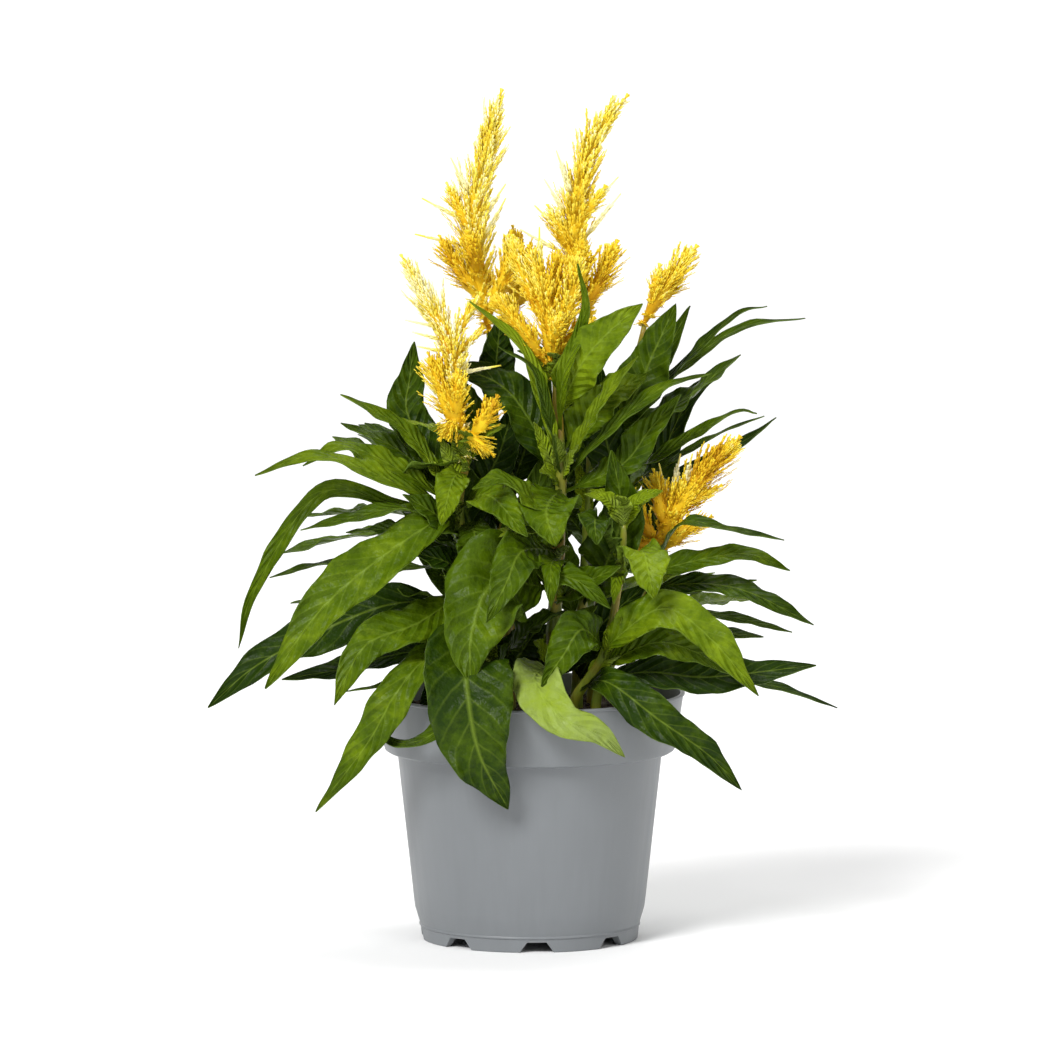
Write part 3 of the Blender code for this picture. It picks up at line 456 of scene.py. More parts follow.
def middleLeaves():  # short steep leaves that fill the middle between the stems
    rng = random.Random(innerLeaves["seed"])
    result = []
    for i, stem, level in spots(innerLeaves):
        if stem in ("right", "right_front", "left"):
            level = 106 + (level - 106) * 0.6
        root = onStem(stem, level)
        turn = math.radians(137.5 * i + rng.uniform(-20, 20))
        reach = rng.uniform(30, 46)
        rise = rng.uniform(0.7, 1.3)
        out = Vector((math.cos(turn), math.sin(turn) * 0.7, 0)) * reach * mm
        mid = root + out * 0.5 + Vector((0, 0, reach * rise * mm * 0.55))
        tip = root + out + Vector((0, 0, reach * rise * mm * rng.uniform(0.7, 1.0)))
        lean = rng.uniform(45, 75) if math.sin(turn) > -0.3 else rng.uniform(15, 40)
        result.append((stem, root, [mid, tip], rng.uniform(17, 24), lean, 0.05 + 0.35 * ((i * 0.37) % 1)))
    return result


def plumeSpikes(stem):
    top = stemPoints(stem)[-1] + Vector((0, 0, plumeLook["lift"]))
    result = []
    for i, (course, radius, tone) in enumerate(plumes[stem]):
        points = [seen(*p) for p in course]
        result.append(([top] + points if i == 0 else points, radius, tone))
    return result


def plainForms():  # the solids' pot, soil, plumes and stems, each with its owner's name
    forms = []
    for name in ("pot", "soil", *("plume_" + stem for stem in plumes)):
        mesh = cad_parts[name].data
        verts = [v.co - potAxis for v in mesh.vertices]
        forms.append((name, searchTree(verts, [tuple(p.vertices) for p in mesh.polygons])))
    for stem, (course, radius) in stems.items():
        radii = [radius * mm * (1 - 0.5 * i / 5) for i in range(6)]
        form = tube(stemPoints(stem, soilHoleFloor), radii, clearing["stemSides"])
        forms.append((stem, searchTree(*form)))
    return forms


def clearLeaves():  # every leaf's points, bent in small steps until it crosses nothing of another node
    placed = plainForms()
    marks = [seen(*p) for spikes in plumes.values() for course, radius, tone in spikes for p in course]
    tries = [(0, 0)]
    for reach in clearing["reaches"]:
        tries += [(depth * reach, rise * reach * clearing["lift"]) for depth, rise in clearing["ways"]]
    wanted = [(stem, onStem(stem, root), [seen(*p) for p in course], width, lean, youthAndShade)
              for stem, group in [*leaves.items(), *fillLeaves.items()]
              for root, course, width, lean, youthAndShade in group]
    drawn = len(wanted)
    wanted += backLeaves() + middleLeaves()
    result = {stem: [] for stem in stems}
    for index, (stem, root, course, width, lean, youthAndShade) in enumerate(wanted):
        steps = clearing["steps"][index < drawn and width > clearing["broad"]]
        for depth, rise in tries:
            shift = Vector((0, depth, rise)) * mm
            bent = [p + shift * (0.5 + 0.5 * (i + 1) / len(course)) for i, p in enumerate(course)]
            points = [root - (bent[0] - root).normalized() * clearing["sunk"]] + bent
            shape = searchTree(*plainLeaf(points, width, lean, index, clearing["margin"], steps))
            hides = index >= drawn and any(
                shape.ray_cast(eye, p - eye, (p - eye).length)[0] for p in marks)
            if not hides and not any(owner != stem and shape.overlap(other) for owner, other in placed):
                placed.append((stem, shape))
                result[stem].append((points, width, lean, index, youthAndShade, steps))
                break
    return result


# materials
def newMaterial(name, colour, roughness, specular=0.5):
    mat = bpy.data.materials.new(name)
    mat.use_nodes = True
    shader = mat.node_tree.nodes["Principled BSDF"]
    shader.inputs["Base Color"].default_value = (*colour, 1)
    shader.inputs["Roughness"].default_value = roughness
    shader.inputs["Specular IOR Level"].default_value = specular
    return mat, mat.node_tree, shader


def objectCoords(tree):
    return tree.nodes.new("ShaderNodeTexCoord").outputs["Object"]


def attribute(tree, name):
    made = tree.nodes.new("ShaderNodeAttribute")
    made.attribute_name = name
    return made.outputs["Fac"]


def mapped(tree, coords, socket, value):
    made = tree.nodes.new("ShaderNodeMapping")
    made.inputs[socket].default_value = value
    tree.links.new(coords, made.inputs["Vector"])
    return made.outputs["Vector"]


def ramp(tree, source, stops):
    made = tree.nodes.new("ShaderNodeValToRGB")
    tree.links.new(source, made.inputs["Fac"])
    while len(made.color_ramp.elements) < len(stops):
        made.color_ramp.elements.new(0.5)
    for element, (place, colour) in zip(made.color_ramp.elements, stops):
        element.position = place
        element.color = (*colour, 1)
    return made.outputs["Color"]


def greys(tree, source, low, high, start=0.3, end=0.7):
    return ramp(tree, source, [(start, (low,) * 3), (end, (high,) * 3)])


def mixed(tree, kind, share, first, second):
    made = tree.nodes.new("ShaderNodeMix")
    made.data_type = "RGBA"
    made.blend_type = kind
    for socket, value in ((made.inputs[0], share), (made.inputs[6], first), (made.inputs[7], second)):
        if isinstance(value, (int, float)):
            socket.default_value = value
        elif isinstance(value, tuple):
            socket.default_value = (*value, 1)
        else:
            tree.links.new(value, socket)
    return made.outputs[2]


def maths(tree, kind, first, second=0.0):
    made = tree.nodes.new("ShaderNodeMath")
    made.operation = kind
    for socket, value in zip(made.inputs, (first, second)):
        if isinstance(value, (int, float)):
            socket.default_value = value
        else:
            tree.links.new(value, socket)
    return made.outputs[0]


def plus(tree, first, second):
    return maths(tree, "ADD", first, second)


def less(tree, first, second):
    return maths(tree, "SUBTRACT", first, second)


def times(tree, first, second):
    return maths(tree, "MULTIPLY", first, second)


def noise(tree, coords, scale, detail=4):
    made = tree.nodes.new("ShaderNodeTexNoise")
    for name, value in (("Scale", scale), ("Detail", detail), ("Roughness", 0.55)):
        made.inputs[name].default_value = value
    tree.links.new(coords, made.inputs["Vector"])
    return made.outputs["Fac"]


def varied(tree, base, source, share):  # the base, raised and lowered by a noise about its middle
    return plus(tree, base, times(tree, less(tree, source, 0.5), share))


def bump(tree, shader, height, strength, distance):
    made = tree.nodes.new("ShaderNodeBump")
    made.inputs["Strength"].default_value = strength
    made.inputs["Distance"].default_value = distance
    tree.links.new(height, made.inputs["Height"])
    tree.links.new(made.outputs["Normal"], shader.inputs["Normal"])


veinLook = {"slant": 0.30, "wobble": 0.018, "sides": 13.0, "sideSharp": 9.0, "sideShare": 0.45,
            "fade": (1.05, 1.6), "ribSharp": 26.0}


def veinGroup():  # midrib and side veins from the blade's own UV: x across, y along
    group = bpy.data.node_groups.new("leafVeins", "ShaderNodeTree")
    group.interface.new_socket("UV", in_out="INPUT", socket_type="NodeSocketVector")
    for name in ("Veins", "Swell"):
        group.interface.new_socket(name, in_out="OUTPUT", socket_type="NodeSocketFloat")
    uv = group.nodes.new("NodeGroupInput").outputs["UV"]
    end = group.nodes.new("NodeGroupOutput")
    split = group.nodes.new("ShaderNodeSeparateXYZ")
    group.links.new(uv, split.inputs[0])
    across = maths(group, "ABSOLUTE", less(group, split.outputs["X"], 0.5))
    place = less(group, split.outputs["Y"], times(group, across, veinLook["slant"]))
    place = plus(group, place, times(group, noise(group, uv, 7.0, 2), veinLook["wobble"]))
    wave = maths(group, "FRACT", times(group, place, veinLook["sides"]))
    gap = maths(group, "ABSOLUTE", less(group, wave, 0.5))
    side = maths(group, "MAXIMUM", less(group, 1.0, times(group, gap, veinLook["sideSharp"])), 0.0)
    most, fall = veinLook["fade"]
    side = times(group, side, less(group, most, times(group, across, fall)))
    rib = maths(group, "MAXIMUM", less(group, 1.0, times(group, across, veinLook["ribSharp"])), 0.0)
    veins = maths(group, "MAXIMUM", rib, times(group, side, veinLook["sideShare"]))
    group.links.new(veins, end.inputs["Veins"])
    swell = times(group, gap, less(group, 1.0, rib))
    group.links.new(less(group, 0.5, swell), end.inputs["Swell"])
    return group


# leaf colours from dark, the painted shade of shaded leaves, through middle and bright to pale
leafLook = {
    "dark": (0.014, 0.034, 0.0010), "middle": (0.066, 0.116, 0.0012), "bright": (0.230, 0.320, 0.008),
    "vein": (0.26, 0.37, 0.04), "under": (0.13, 0.20, 0.03), "pale": (0.30, 0.37, 0.17),
    "roughness": 0.42, "blotch": (70.0, 0.9), "quiltAndShade": (330.0, 0.45, 0.55), "fine": (900.0, 0.12),
    "specular": 0.10,
    "veins": veinGroup(), "veinShare": (0.38, 0.7), "swell": (1.0, -1.2), "underShare": 0.45,
    "alongSteps": 40, "acrossSteps": 12, "thickness": 0.00045,
    "teeth": (0.045, 60), "lobes": (0.14, 15), "ripples": ((0.20, 24), (0.09, 47)),
}
axilLook = {"every": 2, "length": 0.025, "width": 7.5, "youthAndShade": 1.0, "steps": 4, "tuftLeaves": 6,
            "tufts": ("right_front", "left", "centre")}
stemLook = {"sides": 14, "rings": 40, "foot": soilTop - 0.004, "green": (0.20, 0.27, 0.015),
            "gold": (0.40, 0.24, 0.02), "knots": 9, "knot": 0.12}


def leafMaterial(name, under):
    mat, tree, shader = newMaterial(name, leafLook["dark"], leafLook["roughness"], leafLook["specular"])
    uv = tree.nodes.new("ShaderNodeUVMap")
    uv.uv_map = "leaf"
    veins = tree.nodes.new("ShaderNodeGroup")
    veins.node_tree = leafLook["veins"]
    tree.links.new(uv.outputs["UV"], veins.inputs["UV"])
    coords = objectCoords(tree)
    scale, share = leafLook["blotch"]
    # the leaf's tone, low for leaves in shade as painted shade, varied by random blotches
    shade = varied(tree, attribute(tree, "youthAndShade"), noise(tree, coords, scale, 5), share)
    # the quilting noise bumps the blade and also lightens its colour on the bulges and darkens it in the
    # grooves: painted shade
    scale, share, quiltHeight = leafLook["quiltAndShade"]
    quiltAndShade = noise(tree, coords, scale, 3)
    shade = varied(tree, shade, quiltAndShade, share)
    base = ramp(tree, times(tree, shade, 0.5), [(0.0, leafLook["dark"]), (0.22, leafLook["middle"]),
                                                (0.5, leafLook["bright"]), (1.0, leafLook["pale"])])
    if under:
        base = mixed(tree, "MIX", leafLook["underShare"], base, leafLook["under"])
    share = times(tree, veins.outputs["Veins"], leafLook["veinShare"][under])
    tree.links.new(mixed(tree, "MIX", share, base, leafLook["vein"]), shader.inputs["Base Color"])
    scale, fineHeight = leafLook["fine"]
    fine = noise(tree, coords, scale, 2)
    height = times(tree, veins.outputs["Swell"], leafLook["swell"][under])
    height = plus(tree, height, times(tree, quiltAndShade, quiltHeight))
    bump(tree, shader, plus(tree, height, times(tree, fine, fineHeight)), 0.8, 0.0018)
    tree.links.new(greys(tree, fine, 0.28, 0.46), shader.inputs["Roughness"])
    return mat


def stemMaterial():
    mat, tree, shader = newMaterial("stemGreen", stemLook["green"], 0.45)
    coords = objectCoords(tree)
    lines = noise(tree, mapped(tree, coords, "Scale", (1, 1, 0.12)), 700.0, 3)
    patch = greys(tree, noise(tree, coords, 45.0, 2), 0.0, 0.8, 0.44, 0.62)
    base = mixed(tree, "MIX", patch, stemLook["green"], stemLook["gold"])
    colour = mixed(tree, "MULTIPLY", 0.6, base, greys(tree, lines, 0.55, 1.0))
    tree.links.new(colour, shader.inputs["Base Color"])
    bump(tree, shader, lines, 0.35, 0.0006)
    return mat


def flatLeaf():  # one flat blade as a grid, one long and one wide, that every leaf is bent from
    long, wide = leafLook["alongSteps"], leafLook["acrossSteps"]
    bpy.ops.mesh.primitive_grid_add(x_subdivisions=wide, y_subdivisions=long, size=1, calc_uvs=True)
    blade = bpy.context.object
    flat = np.empty(len(blade.data.vertices) * 3)
    blade.data.vertices.foreach_get("co", flat)
    pick()
    return blade, flat.reshape(-1, 3) + (0.5, 0.5, 0)


def bladeShape(flat, width, phase, count):  # across and above for each point of the flat blade
    across, t = (flat[:, 0] - 0.5) * 2, flat[:, 1]
    edge = np.abs(across)
    half = leafShare(t) * width * mm
    depth, turns = leafLook["teeth"]
    margin = 1 - depth * (0.5 + 0.5 * np.sin(t * turns + phase)) * edge ** 4
    depth, turns = leafLook["lobes"]
    margin -= depth * (0.5 + 0.5 * np.sin(t * turns + phase * 4 + across * 2)) * edge ** 3
    half = np.maximum(half, 0.0007 * (1 - t ** 8) + 0.00012) * margin
    wave = np.sin(t * count * bladeForm["waves"] + phase) * half * bladeForm["wave"] * across * edge
    (broad, broadTurns), (fine, fineTurns) = leafLook["ripples"]
    ripple = np.sin(t * broadTurns + phase * 2 + across * 2) * half * broad * across ** 2
    ripple += np.sin(t * fineTurns + phase * 3 - across * 3) * half * fine * edge
    above = half * bladeForm["keel"] * edge ** 1.3 - wave + ripple * (t > bladeForm["petiole"])
    return across * half, above


def bentLeaf(flat, points, width, lean, phase, count):
    steps = leafLook["alongSteps"]
    rows = [(centre, *leafWays(way, lean)) for centre, way in even(points, steps)]
    rows = np.array([[tuple(v) for v in row] for row in rows])[np.rint(flat[:, 1] * steps).astype(int)]
    across, above = bladeShape(flat, width, phase, count)
    return rows[:, 0] + rows[:, 2] * across[:, None] + rows[:, 1] * above[:, None]


def axilLeaves(stem, group):  # small young leaves at every other root, and a tuft round the stem's top
    size, result = axilLook["length"], []
    for points, width, lean, phase, youthAndShade, count in group[::axilLook["every"]]:
        way = (points[1] - points[0]).normalized()
        rise = Vector((0.35 * math.sin(phase * 2.1), -0.45, 0.9))
        length = size * (0.8 + 0.4 * math.sin(phase) ** 2)
        mid = points[0] + (way + rise).normalized() * length * 0.55
        tip = mid + (way * 1.3 + rise * 0.6).normalized() * length * 0.5
        result.append(([points[0], mid, tip], lean, phase + 3))
    if stem in axilLook["tufts"]:
        top = stemPoints(stem)[-1] - Vector((0, 0, 0.003))
        for k in range(axilLook["tuftLeaves"]):
            turn = math.tau * k / axilLook["tuftLeaves"] + 0.4
            out = Vector((math.cos(turn), math.sin(turn), 0.0))
            mid = top + (out * 0.5 + Vector((0, 0, 1))) * size * 0.5
            tip = mid + (out + Vector((0, 0, 0.35))) * size * 0.45
            result.append(([top, mid, tip], 50, k * 1.7))
    return [(points, axilLook["width"], lean, phase, axilLook["youthAndShade"], axilLook["steps"])
            for points, lean, phase in result]


def makeLeaf(blade, shape, tone, mats):
    mesh = blade.data.copy()
    mesh.vertices.foreach_set("co", (shape + np.array(potAxis)).ravel())
    mesh.uv_layers[0].name = "leaf"
    # each leaf's tone, darker for a leaf in shade as painted shade
    youthAndShade = mesh.attributes.new("youthAndShade", "FLOAT", "POINT")
    youthAndShade.data.foreach_set("value", np.full(len(mesh.vertices), tone))
    for name in ("leaf", "under"):
        mesh.materials.append(mats[name])
    return newObject("leaf", mesh)


def makeStalk(stem, mat):  # the bare stem, thinner upwards and slightly swollen at its knots
    rings, radius = stemLook["rings"], stems[stem][1] * mm
    radii = []
    for i in range(rings + 1):
        knot = stemLook["knot"] * max(0, math.sin(i / rings * math.pi * stemLook["knots"])) ** 8
        radii.append(radius * (1 - 0.5 * i / rings) * (1 + knot))
    verts, faces = closedTube(stemPoints(stem, stemLook["foot"]), radii, stemLook["sides"])
    mesh = bpy.data.meshes.new("stem")
    mesh.from_pydata([v + potAxis for v in verts], [], faces)
    mesh.materials.append(mat)
    stalk = newObject("stem", mesh)
    pick(stalk)
    startEdit()
    closeEdit()
    bpy.ops.object.shade_smooth()
    return stalk


def makeStemPiece(stem, blade, flat, group, mats):
    parts = []
    for points, width, lean, phase, youthAndShade, count in group + axilLeaves(stem, group):
        shape = bentLeaf(flat, points, width, lean, phase, count)
        parts.append(makeLeaf(blade, shape, youthAndShade + 0.15 * math.sin(phase * 5), mats))
    pick(*parts)
    bpy.ops.object.join()
    piece = bpy.context.object
    thick = piece.modifiers.new("thick", "SOLIDIFY")
    thick.thickness = leafLook["thickness"]
    thick.offset = -1
    thick.material_offset = 1
    thick.material_offset_rim = 1
    bpy.ops.object.modifier_apply(modifier="thick")
    bpy.ops.object.shade_smooth()
    pick(piece, makeStalk(stem, mats["stem"]))
    bpy.ops.object.join()
    piece.name = "foliage_" + stem
    pick()
    finish(piece, "leaf_green", "leafy_stem_" + stem)
    return piece


# a spike narrower than "slim" is a bundle of feathers, the others carry twigs all round
plumeLook = {
    # the darkest colour is the plumes' painted shade deep inside; gold, light and cream are the florets'
    # own colours
    "shadowGold": (0.58, 0.30, 0.004), "gold": (0.90, 0.64, 0.018), "light": (0.95, 0.80, 0.09),
    "cream": (0.98, 0.93, 0.56), "patch": (160.0, 0.35), "broad": (55.0, 0.9), "specular": 0.2,
    "floretLength": 0.0085, "floretWidth": 0.00048, "twigGap": 0.0030, "floretGap": 0.0013,
    "twigs": 9, "tipTwigs": 4, "spread": 0.21, "slim": 3, "feathers": (9, 12), "lift": 0.0012,
    "coreRings": 8, "coreSides": 8, "seed": 100,
}


def plumeMaterial():
    mat, tree, shader = newMaterial("plumeYellow", plumeLook["gold"], 0.55, plumeLook["specular"])
    coords = objectCoords(tree)
    # the shade attribute: the florets' own paler tips together with painted shade deeper in the plume,
    # varied by random patches
    level = attribute(tree, "shade")
    for name, detail in (("patch", 3), ("broad", 1)):
        scale, share = plumeLook[name]
        level = varied(tree, level, noise(tree, coords, scale, detail), share)
    colour = ramp(tree, level, [(0.0, plumeLook["shadowGold"]), (0.35, plumeLook["gold"]),
                                (0.7, plumeLook["light"]), (1.0, plumeLook["cream"])])
    tree.links.new(colour, shader.inputs["Base Color"])
    bump(tree, shader, noise(tree, coords, 1500.0, 2), 0.2, 0.0004)
    return mat


def pickEnd(thing, side):  # the faces that look up, or with -1 down
    bpy.ops.mesh.select_all(action="DESELECT")
    bm = bmesh.from_edit_mesh(thing.data)
    for face in bm.faces:
        face.select = face.normal.z * side > 0.9
    bmesh.update_edit_mesh(thing.data)


def meshArrays(thing):  # the object's points and faces; the object itself goes
    verts = np.array([tuple(v.co) for v in thing.data.vertices])
    faces = [tuple(p.vertices) for p in thing.data.polygons]
    bpy.data.objects.remove(thing)
    return verts, faces


def oneFloret():  # a slim pointed bract, one long on Z and one wide
    bpy.ops.mesh.primitive_cone_add(vertices=4, radius1=0.5, radius2=0.42, depth=0.55,
                                    location=(0, 0, 0.275))
    floret = bpy.context.object
    startEdit()
    pickEnd(floret, 1)
    extrude(0, 0, 0.45)
    bpy.ops.mesh.merge(type="CENTER")
    pickEnd(floret, -1)
    bpy.ops.transform.resize(value=(0.35, 0.35, 1))
    bpy.ops.mesh.select_all(action="SELECT")
    bpy.ops.mesh.quads_convert_to_tris()
    bpy.ops.object.mode_set(mode="OBJECT")
    return meshArrays(floret)


def twigFlorets(place, way, reach, shade, rng):  # a slender feather of bracts that lie along one twig
    side, other = crossWays(way, (0.31, 0.22, 0.93), 0.05)
    number = max(3, int(reach / plumeLook["floretGap"]))
    out = []
    for j in range(number):
        s = (j + 0.5) / number
        away = around(side, other, goldenTurn * j + rng.uniform(-0.5, 0.5))
        aim = (way + away * plumeLook["spread"] * (1 - 0.7 * s)).normalized()
        size = plumeLook["floretLength"] * rng.uniform(0.8, 1.15) * (1 - 0.3 * s)
        size = min(size, reach * 1.4 + 0.002)
        start = place + way * max(reach - size, 0) * s + away * 0.0003
        # paler out along the twig: the florets' own paler ends, and painted shade deeper inside the plume
        out.append((start, aim, size, shade + 0.3 * s + rng.uniform(-0.14, 0.14)))
    return out


def featherFlorets(points, radius, length, tone, rng):  # a slim spike: feathers side by side
    way = (points[-1] - points[0]).normalized()
    out = []
    for k in range(plumeLook["feathers"][radius >= 2.3]):
        shift = around(Vector((1, 0, 0)), Vector((0, 1, 0)), goldenTurn * k)
        start = points[0] + shift * radius * mm * 0.17 * math.sqrt(k)
        out += twigFlorets(start, way, length * (1 - 0.05 * k * rng.random()), 0.35 + tone, rng)
    return out


def spikeFlorets(points, radius, tone, rng):  # place, direction, length and shade of each floret
    length = sum((b - a).length for a, b in zip(points, points[1:]))
    if radius < plumeLook["slim"]:
        return featherFlorets(points, radius, length, tone, rng)
    out = []
    twigs = plumeLook["twigs"]
    count = max(5, int(length / plumeLook["twigGap"]))
    for i, (centre, way) in enumerate(even(points, count)):
        t = i / count
        body = spikeBody(radius, t, 0.62, 1.8)
        side, other = crossWays(way, (0.2, 1, 0))
        for k in range(twigs if t < 0.93 else plumeLook["tipTwigs"]):
            away = around(side, other, goldenTurn * (i * twigs + k) + rng.uniform(-0.3, 0.3))
            slant = rng.uniform(0.9, 2.0) + 3 * t * t - 1.7 * max(0, 1 - t / 0.2)
            reach = body * rng.uniform(0.7, 1.15) * (1.3 if rng.random() < 0.14 else 1) + 0.0008
            reach = min(reach * math.hypot(1, slant), (1 - t) * length + 0.0045)
            # paler towards the spike's tip: partly the plume's own pale tips, partly painted shade deeper
            # inside
            shade = tone + 0.05 + 0.15 * t + rng.uniform(-0.12, 0.12)
            aim = (away + way * slant).normalized()
            out += twigFlorets(centre + away * body * 0.08, aim, reach, shade, rng)
    return out


def spikeCore(points, radius, tone):  # the stalk inside a spike, with its shade: dark painted shade inside a thick spike, a pale tone inside a slim one
    slim, rings, radii = radius < plumeLook["slim"], plumeLook["coreRings"], []
    for k in range(rings + 1):
        share = min(0.36, 0.14 + k / rings) * (0.3 if slim else 1)
        radii.append(spikeBody(radius * share, k / rings) + 0.0003)
    verts, faces = closedTube(points, radii, plumeLook["coreSides"])
    return verts, faces, 0.5 + tone if slim else 0.12


def makePlume(stem, floretVerts, floretTris, mat, seed):
    rng = random.Random(seed)
    items, coreVerts, coreFaces, coreShades = [], [], [], []
    for points, radius, tone in plumeSpikes(stem):
        items += spikeFlorets(points, radius, tone, rng)
        verts, faces, shade = spikeCore(points, radius, tone)
        coreFaces += [tuple(len(coreVerts) + v for v in face) for face in faces]
        coreVerts += [tuple(v) for v in verts]
        coreShades += [shade] * len(verts)
    blocks, shades = [], []
    axis = Vector((0.3, 0.2, 1)).normalized()
    width = plumeLook["floretWidth"]
    for place, aim, size, shade in items:
        side, other = crossWays(aim, axis, 0.02)
        rows = np.array([tuple(side * width * 2), tuple(other * width * 0.9), tuple(aim * size)])
        blocks.append(floretVerts @ rows + np.array(tuple(place)))
        # each floret darker at its base, where the florets overlap, as painted shade, and paler to its own
        # cream tip
        shades.append(shade + 0.50 * floretVerts[:, 2])
    count = len(floretVerts)
    faces = [tuple(v + count * i for v in tri) for i in range(len(items)) for tri in floretTris]
    faces += [tuple(count * len(items) + v for v in face) for face in coreFaces]
    mesh = bpy.data.meshes.new("plume")
    points = np.concatenate(blocks + [np.array(coreVerts)]) + np.array(potAxis)
    mesh.from_pydata(points.tolist(), [], faces)
    tone = mesh.attributes.new("shade", "FLOAT", "POINT")
    tone.data.foreach_set("value", np.concatenate(shades + [np.array(coreShades)]))
    mesh.polygons.foreach_set("use_smooth", np.ones(len(mesh.polygons), bool))
    mesh.materials.append(mat)
    finish(newObject("florets_" + stem, mesh), "plume_yellow", "plume_" + stem)
    print("plume", stem, len(items), "florets", len(mesh.polygons), "faces")


# the notch: its width at the top and at the foot and its height
potLook = {"sides": 96, "notches": 8, "turn": math.radians(3.7), "notch": (0.0080, 0.0145, 0.0044),
           "ring": 0.0450, "smooth": math.radians(32), "grey": (0.182, 0.194, 0.204)}
potProfile = [  # radius and height from the floor's middle out, up the wall, over the rim and down
    (0.0415, 0.0050), (0.0420, 0.0002), (0.0424, 0.0), (0.0451, 0.0), (0.0455, 0.0004),
    (0.0459, 0.0056), (0.0464, 0.0059), (0.0464, 0.0063), (0.0462, 0.0068), (0.0482, 0.0135),
    (0.0485, 0.0156), (0.0554, 0.0777), (0.0558, 0.0786), (0.0594, 0.0792), (0.0607, 0.0800),
    (0.0612, 0.0815), (0.0644, 0.1026), (0.0650, 0.1031), (0.0650, 0.1037), (0.0646, 0.1040),
    (0.0636, 0.1040), (0.0631, 0.1036), (0.0600, 0.0827), (0.0543, 0.0797), (0.0473, 0.0156),
    (0.0443, 0.0064),
]


def potMaterial():
    mat, tree, shader = newMaterial("potGrey", potLook["grey"], 0.42)
    coords = objectCoords(tree)
    onAxis = mapped(tree, coords, "Location", -potAxis)
    streak = noise(tree, mapped(tree, onAxis, "Scale", (1, 1, 0.03)), 260.0, 3)
    grain = noise(tree, coords, 1400.0, 3)
    colour = mixed(tree, "MULTIPLY", 1.0, potLook["grey"], greys(tree, streak, 0.97, 1.02))
    colour = mixed(tree, "MULTIPLY", 1.0, colour, greys(tree, noise(tree, coords, 16.0, 3), 0.94, 1.03))
    tree.links.new(colour, shader.inputs["Base Color"])
    tree.links.new(greys(tree, streak, 0.38, 0.5), shader.inputs["Roughness"])
    bump(tree, shader, plus(tree, streak, times(tree, grain, 0.3)), 0.12, 0.0006)
    return mat


def notchCutter(turn):  # a block through the foot ring, narrow at its top and wider at the foot
    out = Vector((math.sin(turn), -math.cos(turn), 0))
    top, foot, height = potLook["notch"]
    place = potAxis + out * potLook["ring"]
    bpy.ops.mesh.primitive_cube_add(size=1, location=place, rotation=(0, 0, turn))
    notch = bpy.context.object
    startEdit()
    bpy.ops.transform.resize(value=(1, 0.02, 2 * height), orient_type="LOCAL")
    bpy.ops.object.mode_set(mode="OBJECT")
    for vert in notch.data.vertices:
        vert.co.x *= top if vert.co.z > 0 else 2 * foot - top
    return notch


def makePot(mat):
    bpy.ops.mesh.primitive_circle_add(vertices=3, radius=0.001)
    pot = bpy.context.object
    pot.name = "nurseryPot"
    pot.data.clear_geometry()
    edges = [(i, i + 1) for i in range(len(potProfile) - 1)]
    pot.data.from_pydata([(radius + potAxis.x, potAxis.y, z) for radius, z in potProfile], edges, [])
    startEdit()
    bpy.ops.mesh.spin(steps=potLook["sides"], angle=math.tau, center=potAxis, axis=(0, 0, 1))
    bpy.ops.mesh.select_all(action="SELECT")
    bpy.ops.mesh.remove_doubles(threshold=0.00001)
    pickRim()
    bpy.ops.mesh.edge_face_add()
    closeEdit()
    for k in range(potLook["notches"]):
        notch = notchCutter(potLook["turn"] + math.tau * k / potLook["notches"])
        cut = pot.modifiers.new("notch", "BOOLEAN")
        cut.operation = "DIFFERENCE"
        cut.object = notch
        pick(pot)
        bpy.ops.object.modifier_apply(modifier="notch")
        bpy.data.objects.remove(notch)
    bpy.ops.object.shade_smooth_by_angle(angle=potLook["smooth"])
    pot.data.materials.append(mat)
    pick()
    finish(pot, "pot_plastic", "pot")


soilLook = {
    "radius": 0.0609, "depth": 0.012, "taper": 0.955, "sides": 72, "rings": 18, "seed": 5,
    "dark": (0.022, 0.013, 0.008), "light": (0.085, 0.050, 0.028),
    "lumps": ((130, 0.0016), (420, 0.0012)), "crumbs": 900, "crumbSize": (0.4, 1.5), "shape": (0.7, 1.3),
}


def soilMaterial():
    mat, tree, shader = newMaterial("soilBrown", soilLook["dark"], 0.95)
    coords = objectCoords(tree)
    grain = noise(tree, coords, 420.0, 5)
    colour = ramp(tree, grain, [(0.35, soilLook["dark"]), (0.7, soilLook["light"])])
    tree.links.new(colour, shader.inputs["Base Color"])
    bump(tree, shader, noise(tree, coords, 1600.0, 4), 0.8, 0.0008)
    return mat


def makeCrumbs():
    rng = random.Random(soilLook["seed"])
    bpy.ops.mesh.primitive_ico_sphere_add(subdivisions=1, radius=0.001)
    crumbVerts, crumbFaces = meshArrays(bpy.context.object)
    verts, faces = [], []
    for i in range(soilLook["crumbs"]):
        reach = soilLook["radius"] * 0.972 * math.sqrt(rng.random())
        turn = rng.uniform(0, math.tau)
        height = soilTop + rng.uniform(0, 0.0012)
        place = potAxis + Vector((reach * math.cos(turn), reach * math.sin(turn), height))
        size = rng.uniform(*soilLook["crumbSize"]) ** 1.5
        jitter = np.array([[rng.uniform(*soilLook["shape"]) for axis in range(3)] for v in crumbVerts])
        faces += [tuple(len(verts) + v for v in face) for face in crumbFaces]
        verts += (crumbVerts * size * jitter * (1, 1, 0.7) + np.array(place)).tolist()
    mesh = bpy.data.meshes.new("crumbs")
    mesh.from_pydata(verts, [], faces)
    return newObject("crumbs", mesh)


